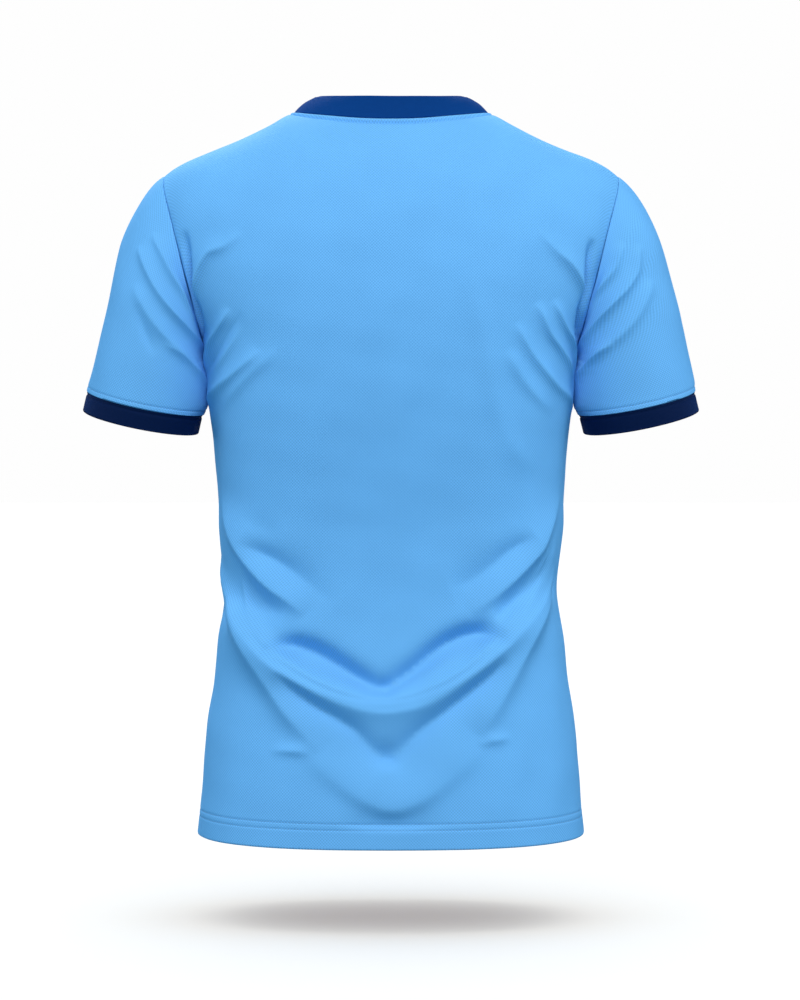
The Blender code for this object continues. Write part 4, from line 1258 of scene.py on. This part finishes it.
def stitch_piece(name, lines, thread, sizes):
    """Stitches along the lines as one plain mesh."""
    path = bpy.data.curves.new(name + "_line", "CURVE")
    path.dimensions = "3D"
    for line in lines:
        spline = path.splines.new("POLY")
        spline.points.add(len(line) - 1)
        for point, place in zip(spline.points, line):
            point.co = (*place, 1.0)
    holder = bpy.data.objects.new(name + "_line", path)
    bpy.context.scene.collection.objects.link(holder)
    rows = holder.modifiers.new("Stitches", "NODES")
    rows.node_group = bpy.data.node_groups.get("stitch_rows") or stitch_tree()
    given = {"Pitch": sizes.stitch_pitch, "Length": sizes.stitch_length,
             "Thickness": sizes.thread_thickness, "Thread": thread}
    for item in rows.node_group.interface.items_tree:
        if item.in_out == "INPUT" and item.name in given:
            rows[item.identifier] = given[item.name]
    evaluated = holder.evaluated_get(bpy.context.evaluated_depsgraph_get())
    mesh = bpy.data.meshes.new_from_object(evaluated)
    bpy.data.objects.remove(holder, do_unlink=True)
    if not mesh.polygons:
        raise RuntimeError("no stitches were laid for " + name)
    mesh.name = name
    if not mesh.materials:
        mesh.materials.append(thread)
    piece = bpy.data.objects.new(name, mesh)
    bpy.context.scene.collection.objects.link(piece)
    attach(piece, "root")
    return piece


# ---------------------------------------------------------------- sizes and colours
class JerseySizes(bpy.types.PropertyGroup):
    knit_wall: bpy.props.FloatProperty(
        name="Knit wall", description="Thickness of the body and sleeve cloth",
        default=0.0015, min=0.0005, max=0.003, unit="LENGTH")
    hem_wall: bpy.props.FloatProperty(
        name="Hem wall", description="Thickness of the turned hem",
        default=0.0028, min=0.001, max=0.005, unit="LENGTH")
    collar_wall: bpy.props.FloatProperty(
        name="Collar wall", description="Thickness of the collar band",
        default=0.0022, min=0.001, max=0.004, unit="LENGTH")
    cuff_wall: bpy.props.FloatProperty(
        name="Cuff wall", description="Thickness of the cuff bands",
        default=0.0024, min=0.001, max=0.004, unit="LENGTH")
    fold_strength: bpy.props.FloatProperty(
        name="Fold strength", description="Share of the folds' listed heights",
        default=1.0, min=0.0, max=1.5, subtype="FACTOR")
    unevenness: bpy.props.FloatProperty(
        name="Unevenness", description="Height of the cloth's soft waves",
        default=0.0005, min=0.0, max=0.002, unit="LENGTH")
    stitch_pitch: bpy.props.FloatProperty(
        name="Stitch pitch", description="Distance from one stitch to the next",
        default=0.0032, min=0.001, max=0.008, unit="LENGTH")
    stitch_length: bpy.props.FloatProperty(
        name="Stitch length", description="Length of the thread that shows in each stitch",
        default=0.0026, min=0.0005, max=0.008, unit="LENGTH")
    thread_thickness: bpy.props.FloatProperty(
        name="Thread thickness", description="Thickness of the sewing thread",
        default=0.0005, min=0.0002, max=0.0015, unit="LENGTH")


class JerseyColours(bpy.types.PropertyGroup):
    body: bpy.props.FloatVectorProperty(
        name="Body", description="Colour of the body and sleeves", subtype="COLOR",
        size=3, default=(0.132, 0.422, 0.824), min=0.0, max=1.0)
    collar: bpy.props.FloatVectorProperty(
        name="Collar", description="Colour of the collar band", subtype="COLOR",
        size=3, default=(0.003, 0.045, 0.212), min=0.0, max=1.0)
    cuff: bpy.props.FloatVectorProperty(
        name="Cuffs", description="Colour of the cuff bands", subtype="COLOR",
        size=3, default=(0.0008, 0.0085, 0.046), min=0.0, max=1.0)


# ---------------------------------------------------------------- laying each piece
def folds_of(side):
    """The creases of one panel; the front takes some of the back's, turned half round."""
    if side == BACK:
        return list(BACK_CREASES.values())
    folds = list(FRONT_CREASES.values())
    aside, up = FRONT_SHIFT
    for name, share in FRONT_LIKE_BACK.items():
        crease = BACK_CREASES[name]
        rows = [(aside - across, height + up, lift * share, left, right)
                for across, height, lift, left, right in crease.rows]
        folds.append(Crease(FRONT, crease.sharpness + FRONT_ROUNDER, rows))
    return folds


def lay_panel(side, sizes):
    """One panel's cloth with its flat size and area; its stitch lines are kept for later."""
    grid, shares = panel_surface(side)
    across, upward = arc_lengths(grid, False)
    width = across[:, -1:]
    from_seam = np.minimum(across, width - across)
    from_top = upward[-1] - upward
    normals = outward_normals(grid, False)
    face_of = np.full(grid.shape[:2], float(side))
    lift = crease_lift(grid, normals, folds_of(side), face_of, sizes.fold_strength)
    middle = across[:, across.shape[1] // 2][:, None]
    lift += unevenness(across - middle, upward, sizes.unevenness, PANEL_SEED + side)
    lift *= calmed(EDGE_FOLDS, smooth(from_seam / SIDE_CALM) * smooth(from_top / TOP_CALM))
    lift *= calmed(HEM_FOLDS, smooth((upward - HEM_CALM_START) / HEM_CALM))

    before_end = NECK_SHARE + NECK_GROOVE_END - np.abs(shares)
    in_neck = smooth(before_end / NECK_GROOVE_FADE)[None, :]
    lift -= NECK_GROOVE_DEPTH * bump(from_top - NECK_STITCH_DROP, NECK_GROOVE_REACH) * in_neck
    lift += NECK_PUFF * bump(from_top - NECK_STITCH_DROP / 2, NECK_STITCH_DROP / 4) * in_neck
    for rise in HEM_STITCH_RISES:
        lift -= GROOVE_DEPTH * bump(upward - rise, GROOVE_REACH)
    off_hem = smooth((upward - SEAM_DIP_START) / SEAM_DIP_FADE)
    lift -= SEAM_DIP * bump(from_seam, SEAM_REACH) * off_hem
    lift -= SEAM_DIP * bump(from_top, SEAM_REACH)
    cloth = grid + normals * lift[..., None]
    name = "back_cloth" if side == BACK else "front_cloth"
    for rise in HEM_STITCH_RISES:
        keep_line("hem", line_at(cloth, upward, rise, False)[1:-1])
    neck = np.abs(shares) < NECK_SHARE + NECK_STITCH_END
    keep_line("neck", line_at(cloth, upward, NECK_STITCH_DROP, True)[neck])
    below = len(panel_levels(side)[0])
    if side == FRONT:
        side_share = np.where(np.arange(len(grid)) < below, 1.0, SHORT_TUCK)
        from_tip = (1 - np.abs(shares)) / (1 - NECK_SHARE)
        start, end = SHOULDER_TUCK
        top_share = np.where((from_tip > start) & (from_tip < end), 1.0, SHORT_TUCK)
        cloth = tucked_sides(cloth, outward_normals(cloth, False), side_share, top_share)
        across, upward = arc_lengths(cloth, False)
        middle = across[:, across.shape[1] // 2][:, None]
    pattern = np.stack([across - middle, upward], axis=-1)
    wall = sizes.knit_wall + (sizes.hem_wall - sizes.knit_wall) * (upward < HEM_BAND)
    piece = cloth_shell(name, cloth, wall, pattern, False, cloth.shape[1] // 2)
    flat = (float(width[:below].max()), float(upward[-1].max()))
    return piece, flat, float(panel_area(grid))


def panel_area(grid):
    """Area of a plain surface, added up over its small quadrilaterals."""
    along = np.diff(grid, axis=1)[:-1]
    up = np.diff(grid, axis=0)[:, :-1]
    return np.linalg.norm(np.cross(along, up), axis=-1).sum()


def flat_size(across, upward):
    """Width and length of a ring's cloth, opened out flat."""
    return float(across[:, -1].max()), float(upward.max())


def for_hand(grid, hand):
    """A left arm's rings, from the bottom up, kept or mirrored for the wearer's other arm."""
    if hand < 0:
        grid = (grid * np.array([-1.0, 1.0, 1.0]))[:, ::-1]
    return grid[::-1]


def lay_sleeve(hand, sizes):
    """One sleeve's cloth with its flat size and area; its stitch line is kept for later."""
    parts = even_steps(0.0, 1.0, SLEEVE_ROWS, *SLEEVE_END_ROWS, SLEEVE_END_STEP)
    turns = np.linspace(0, 2 * math.pi, SLEEVE_COLUMNS, endpoint=False)
    grid = for_hand(sleeve_surface(parts, turns), hand)
    across, upward = arc_lengths(grid, True)
    normals = outward_normals(grid, True)
    centre = grid.mean(axis=1, keepdims=True)
    face_of = np.where(grid[..., 1] >= centre[..., 1], 1.0, -1.0)
    table = LEFT_SLEEVE_CREASES if hand > 0 else RIGHT_SLEEVE_CREASES
    lift = crease_lift(grid, normals, list(table.values()), face_of, sizes.fold_strength)
    from_end = upward[:, :-1]
    from_top = from_end[-1] - from_end
    waves = sizes.unevenness * SLEEVE_WAVES
    lift += unevenness(grid[..., 1], from_end, waves, SLEEVE_SEED + hand)
    lift *= calmed(ARMHOLE_FOLDS, smooth(from_top / SLEEVE_CALM))
    lift *= calmed(CUFF_END_FOLDS, smooth(from_end / SLEEVE_CALM))
    lift -= GROOVE_DEPTH * bump(from_end - SLEEVE_STITCH_RISE, GROOVE_REACH)
    lift -= SEAM_DIP * bump(from_top, SEAM_REACH)
    cloth = grid + normals * lift[..., None]
    line = line_at(cloth, from_end, SLEEVE_STITCH_RISE, False)
    keep_line("sleeve", np.concatenate([line, line[:1]]))
    name = "left_sleeve_cloth" if hand > 0 else "right_sleeve_cloth"
    cloth = tucked(cloth, outward_normals(cloth, True))
    pattern = np.stack(arc_lengths(cloth, True), axis=-1)
    piece = cloth_shell(name, cloth, sizes.knit_wall, pattern, True,
                        SLEEVE_COLUMNS if hand > 0 else 0)
    whole_ring = np.concatenate([grid, grid[:, :1]], axis=1)
    return piece, flat_size(across, upward), float(panel_area(whole_ring))


def lay_cuff(hand, sizes):
    """One cuff's rib with the fold beside its seam, and its flat size."""
    parts = np.linspace(0.0, 1.0, CUFF_ROWS)
    turns = np.linspace(0, 2 * math.pi, CUFF_COLUMNS, endpoint=False)
    grid = for_hand(cuff_surface(parts, turns), hand)
    across, upward = arc_lengths(grid, True)
    normals = outward_normals(grid, True)
    from_top = (upward[-1] - upward)[:, :-1]
    lift = unevenness(across[:, :-1], upward[:, :-1], RIB_UNEVENNESS, CUFF_SEED + hand)
    lift -= CUFF_FOLD_DEPTH * bump(from_top - CUFF_FOLD_DROP, CUFF_FOLD_REACH)
    cloth = grid + normals * lift[..., None]
    cloth = tucked(cloth, normals)
    name = "left_cuff_cloth" if hand > 0 else "right_cuff_cloth"
    pattern = np.stack(arc_lengths(cloth, True), axis=-1)
    piece = cloth_shell(name, cloth, sizes.cuff_wall, pattern, True)
    return piece, flat_size(across, upward)


def lay_collar(sizes):
    """The collar's rib, whose allowance tucks under the panels, and its flat size."""
    parts = np.linspace(0.0, 1.0, COLLAR_ROWS)
    grid = collar_surface(parts)[:, ::-1]
    across, upward = arc_lengths(grid, True)
    normals = outward_normals(grid, True)
    lift = unevenness(across[:, :-1], upward[:, :-1], RIB_UNEVENNESS, COLLAR_SEED)
    cloth = grid + normals * lift[..., None]
    cloth = tucked(cloth[::-1], normals[::-1])[::-1]
    pattern = np.stack(arc_lengths(cloth, True), axis=-1)
    piece = cloth_shell("collar_cloth", cloth, sizes.collar_wall, pattern, True)
    return piece, flat_size(across, upward)


def dress(piece, node, finish, flat, area=None):
    """Gives a piece its finish, hangs it under the root and hides the solid it stands for."""
    piece.data.materials.append(finish_for(finish))
    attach(piece, "root")
    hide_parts(node)
    if area is not None:
        area = min(area, flat[0] * flat[1])


class JERSEY_OT_panels(bpy.types.Operator):
    """Lay the back and the front panel with their folds, hem and seam edges"""
    bl_idname = "jersey.panels"
    bl_label = "Back and front panels"

    def execute(self, context):
        sizes = context.scene.jersey_sizes
        for side, node in ((BACK, "back_panel"), (FRONT, "front_panel")):
            piece, flat, area = lay_panel(side, sizes)
            dress(piece, node, "body_cloth", flat,
                  area)
        return {"FINISHED"}


class JERSEY_OT_sleeves(bpy.types.Operator):
    """Lay both sleeves from the armhole seam to the cuff"""
    bl_idname = "jersey.sleeves"
    bl_label = "Sleeves"

    def execute(self, context):
        for hand, node in ((1, "sleeve_left"), (-1, "sleeve_right")):
            piece, flat, area = lay_sleeve(hand, context.scene.jersey_sizes)
            dress(piece, node, "body_cloth", flat,
                  area)
        return {"FINISHED"}


class JERSEY_OT_collar(bpy.types.Operator):
    """Lay the stand-up collar band"""
    bl_idname = "jersey.collar"
    bl_label = "Collar band"

    def execute(self, context):
        piece, flat = lay_collar(context.scene.jersey_sizes)
        dress(piece, "collar_band", "collar_cloth", flat)
        return {"FINISHED"}


class JERSEY_OT_cuffs(bpy.types.Operator):
    """Lay the band at the end of each sleeve"""
    bl_idname = "jersey.cuffs"
    bl_label = "Cuffs"

    def execute(self, context):
        for hand, node, sleeve in ((1, "cuff_left", "sleeve_left"),
                                   (-1, "cuff_right", "sleeve_right")):
            piece, flat = lay_cuff(hand, context.scene.jersey_sizes)
            dress(piece, node, "cuff_cloth", flat)
        return {"FINISHED"}


class JERSEY_OT_stitches(bpy.types.Operator):
    """Sew the rows of stitches at the neck, the hem and the sleeve ends"""
    bl_idname = "jersey.stitches"
    bl_label = "Stitches"

    def execute(self, context):
        if not STITCH_LINES:
            raise RuntimeError("the panels and sleeves come before their stitches")
        sizes = context.scene.jersey_sizes
        # The thread is the body colour painted darker, as painted shade of the stitch grooves.
        colour = shade(tuple(context.scene.jersey_colours.body), THREAD_PAINTED_SHADE)
        thread = thread_finish("blue_thread", colour)
        for group, lines in STITCH_LINES.items():
            piece = stitch_piece(group + "_stitches", lines, thread, sizes)
        return {"FINISHED"}


# ---------------------------------------------------------------- stage
CAMERA_PLACE = (-0.009, 3.0, -0.384)
CAMERA_TURN = (math.pi / 2, 0, math.pi)
LENS_LENGTH = 108
SENSOR_HEIGHT = 36
VIEW_DEPTH = 1000
FLOOR_HEIGHT = -0.80
FLOOR_REACH = 400.0
FLOOR_WHITE = (0.9, 0.9, 0.9)
FLOOR_ROUGHNESS = 0.9
FLOOR_SHINE = 0.2
FLOOR_GLOW = 0.31
FLOOR_GLOW_COLOUR = (1.0, 0.80, 0.59)
PLAIN_WHITE = (1.0, 1.0, 1.0)
CHEST = (0.0, 0.0, -0.35)

Softbox = namedtuple("Softbox", "name place target width height watts colour")
SOFTBOXES = [
    Softbox("key", (-0.6, 3.8, 3.8), CHEST, 3.4, 1.6, 290, (1.0, 0.86, 0.82)),
    Softbox("fill_left", (3.0, -0.1, 0.5), CHEST, 1.4, 1.8, 28, PLAIN_WHITE),
    Softbox("fill_right", (-3.0, -0.1, 0.5), CHEST, 1.4, 1.8, 31, PLAIN_WHITE),
    Softbox("low", (0.2, 3.6, -0.45), (0.0, 0.0, -0.5), 2.0, 0.5, 36, PLAIN_WHITE),
    Softbox("front", (0.6, -2.2, 2.0), CHEST, 2.4, 1.2, 90, PLAIN_WHITE),
]
# Two broad suns light the floor alone, so that the jersey's shadow on it is soft and wide.
FLOOR_SUN_TILTS = {"floor_sky_back": 38, "floor_sky_front": -38}
FLOOR_SUN_PLACE = (0, 0, 2)
FLOOR_SUN_STRENGTH = 1.6
FLOOR_SUN_COLOUR = (1.0, 0.93, 0.93)
FLOOR_SUN_ANGLE = math.radians(100)
# The camera sees a nearly white backdrop, while the cloth is lit by a weaker, cooler one.
BACKDROP_SEEN = 0.991
BACKDROP_CAST = 0.26
BACKDROP_CAST_COLOUR = (0.25, 0.80, 1.0)


def stage_object(name, data):
    """An object of this data in the scene, of the same name."""
    holder = bpy.data.objects.new(name, data)
    bpy.context.scene.collection.objects.link(holder)
    return holder


def set_camera(scene):
    lens = bpy.data.cameras.new("camera")
    lens.lens = LENS_LENGTH
    lens.sensor_fit = "VERTICAL"
    lens.sensor_height = SENSOR_HEIGHT
    lens.clip_end = VIEW_DEPTH
    camera = stage_object("camera", lens)
    camera.location = CAMERA_PLACE
    camera.rotation_euler = CAMERA_TURN
    scene.camera = camera


def floor_finish():
    """Matt pale floor with a slight warm glow of its own, so that its shadow is not too dark."""
    material = bpy.data.materials.new("pale_floor")
    material.use_nodes = True
    skin = material.node_tree.nodes["Principled BSDF"]
    skin.inputs["Base Color"].default_value = (*FLOOR_WHITE, 1.0)
    skin.inputs["Roughness"].default_value = FLOOR_ROUGHNESS
    skin.inputs["Specular IOR Level"].default_value = FLOOR_SHINE
    skin.inputs["Emission Color"].default_value = (*FLOOR_GLOW_COLOUR, 1.0)
    skin.inputs["Emission Strength"].default_value = FLOOR_GLOW
    return material


def lay_floor():
    """The studio floor, which throws no light back on the cloth."""
    mesh = bpy.data.meshes.new("studio_floor")
    corners = [(x * FLOOR_REACH, y * FLOOR_REACH, FLOOR_HEIGHT)
               for x, y in ((-1, -1), (1, -1), (1, 1), (-1, 1))]
    mesh.from_pydata(corners, [], [(0, 1, 2, 3)])
    mesh.materials.append(floor_finish())
    floor = stage_object("studio_floor", mesh)
    floor.visible_diffuse = False
    floor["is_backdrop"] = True
    return floor


def lit_by_itself(name, pieces):
    """A collection of pieces that some lamps light alone."""
    lit = bpy.data.collections.new(name)
    for piece in pieces:
        lit.objects.link(piece)
    return lit


def hang_softbox(box, lit):
    """A rectangular lamp turned towards its target."""
    lamp = bpy.data.lights.new(box.name, "AREA")
    lamp.shape = "RECTANGLE"
    lamp.size, lamp.size_y, lamp.energy = box.width, box.height, box.watts
    lamp.color = box.colour
    holder = stage_object(box.name, lamp)
    holder.location = box.place
    aim = Vector(box.target) - Vector(box.place)
    holder.rotation_euler = aim.to_track_quat("-Z", "Y").to_euler()
    holder.light_linking.receiver_collection = lit


def hang_floor_sun(name, tilt, lit):
    sun = bpy.data.lights.new(name, "SUN")
    sun.energy = FLOOR_SUN_STRENGTH
    sun.color = FLOOR_SUN_COLOUR
    sun.angle = FLOOR_SUN_ANGLE
    holder = stage_object(name, sun)
    holder.location = FLOOR_SUN_PLACE
    holder.rotation_euler = (math.radians(tilt), 0, 0)
    holder.light_linking.receiver_collection = lit


def hang_backdrop(scene):
    """The white backdrop that the camera sees, and the weaker light that it casts."""
    world = bpy.data.worlds.new("studio")
    world.use_nodes = True
    scene.world = world
    tree = world.node_tree
    tree.nodes.clear()
    choice = tree.nodes.new("ShaderNodeMixShader")
    ray = tree.nodes.new("ShaderNodeLightPath")
    tree.links.new(ray.outputs["Is Camera Ray"], choice.inputs[0])
    for slot, strength, colour in ((1, BACKDROP_CAST, BACKDROP_CAST_COLOUR),
                                   (2, BACKDROP_SEEN, PLAIN_WHITE)):
        backdrop = tree.nodes.new("ShaderNodeBackground")
        backdrop.inputs["Strength"].default_value = strength
        backdrop.inputs["Color"].default_value = (*colour, 1.0)
        tree.links.new(backdrop.outputs[0], choice.inputs[slot])
    end = tree.nodes.new("ShaderNodeOutputWorld")
    tree.links.new(choice.outputs[0], end.inputs["Surface"])


class JERSEY_OT_stage(bpy.types.Operator):
    """Set the pale floor, the soft light and the camera behind the jersey"""
    bl_idname = "jersey.stage"
    bl_label = "Studio"

    def execute(self, context):
        scene = context.scene
        scene.view_settings.view_transform = "Standard"
        set_camera(scene)
        floor = lay_floor()
        garment = lit_by_itself("lit_garment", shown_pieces())
        ground = lit_by_itself("lit_floor", [floor])
        for box in SOFTBOXES:
            hang_softbox(box, garment)
        for name, tilt in FLOOR_SUN_TILTS.items():
            hang_floor_sun(name, tilt, ground)
        hang_backdrop(scene)
        return {"FINISHED"}


class JERSEY_PT_workshop(bpy.types.Panel):
    """Lists the steps that make the jersey"""
    bl_idname = "JERSEY_PT_workshop"
    bl_label = "Cricket Jersey"
    bl_space_type = "VIEW_3D"
    bl_region_type = "UI"
    bl_category = "Jersey"

    def draw(self, context):
        layout = self.layout
        for group in (context.scene.jersey_sizes, context.scene.jersey_colours):
            box = layout.box()
            for name in group.__annotations__:
                box.prop(group, name)
        for step in STEPS:
            layout.operator(step.bl_idname)


STEPS = (JERSEY_OT_panels, JERSEY_OT_sleeves, JERSEY_OT_collar, JERSEY_OT_cuffs,
         JERSEY_OT_stitches, JERSEY_OT_stage)
CLASSES = (JerseySizes, JerseyColours, *STEPS, JERSEY_PT_workshop)


def register():
    for kind in CLASSES:
        bpy.utils.register_class(kind)
    bpy.types.Scene.jersey_sizes = bpy.props.PointerProperty(type=JerseySizes)
    bpy.types.Scene.jersey_colours = bpy.props.PointerProperty(type=JerseyColours)


def unregister():
    del bpy.types.Scene.jersey_colours
    del bpy.types.Scene.jersey_sizes
    for kind in reversed(CLASSES):
        bpy.utils.unregister_class(kind)


def main():
    register()
    bpy.ops.jersey.panels()
    bpy.ops.jersey.sleeves()
    bpy.ops.jersey.collar()
    bpy.ops.jersey.cuffs()
    bpy.ops.jersey.stitches()
    bpy.ops.jersey.stage()


if __name__ == "__main__":
    main()
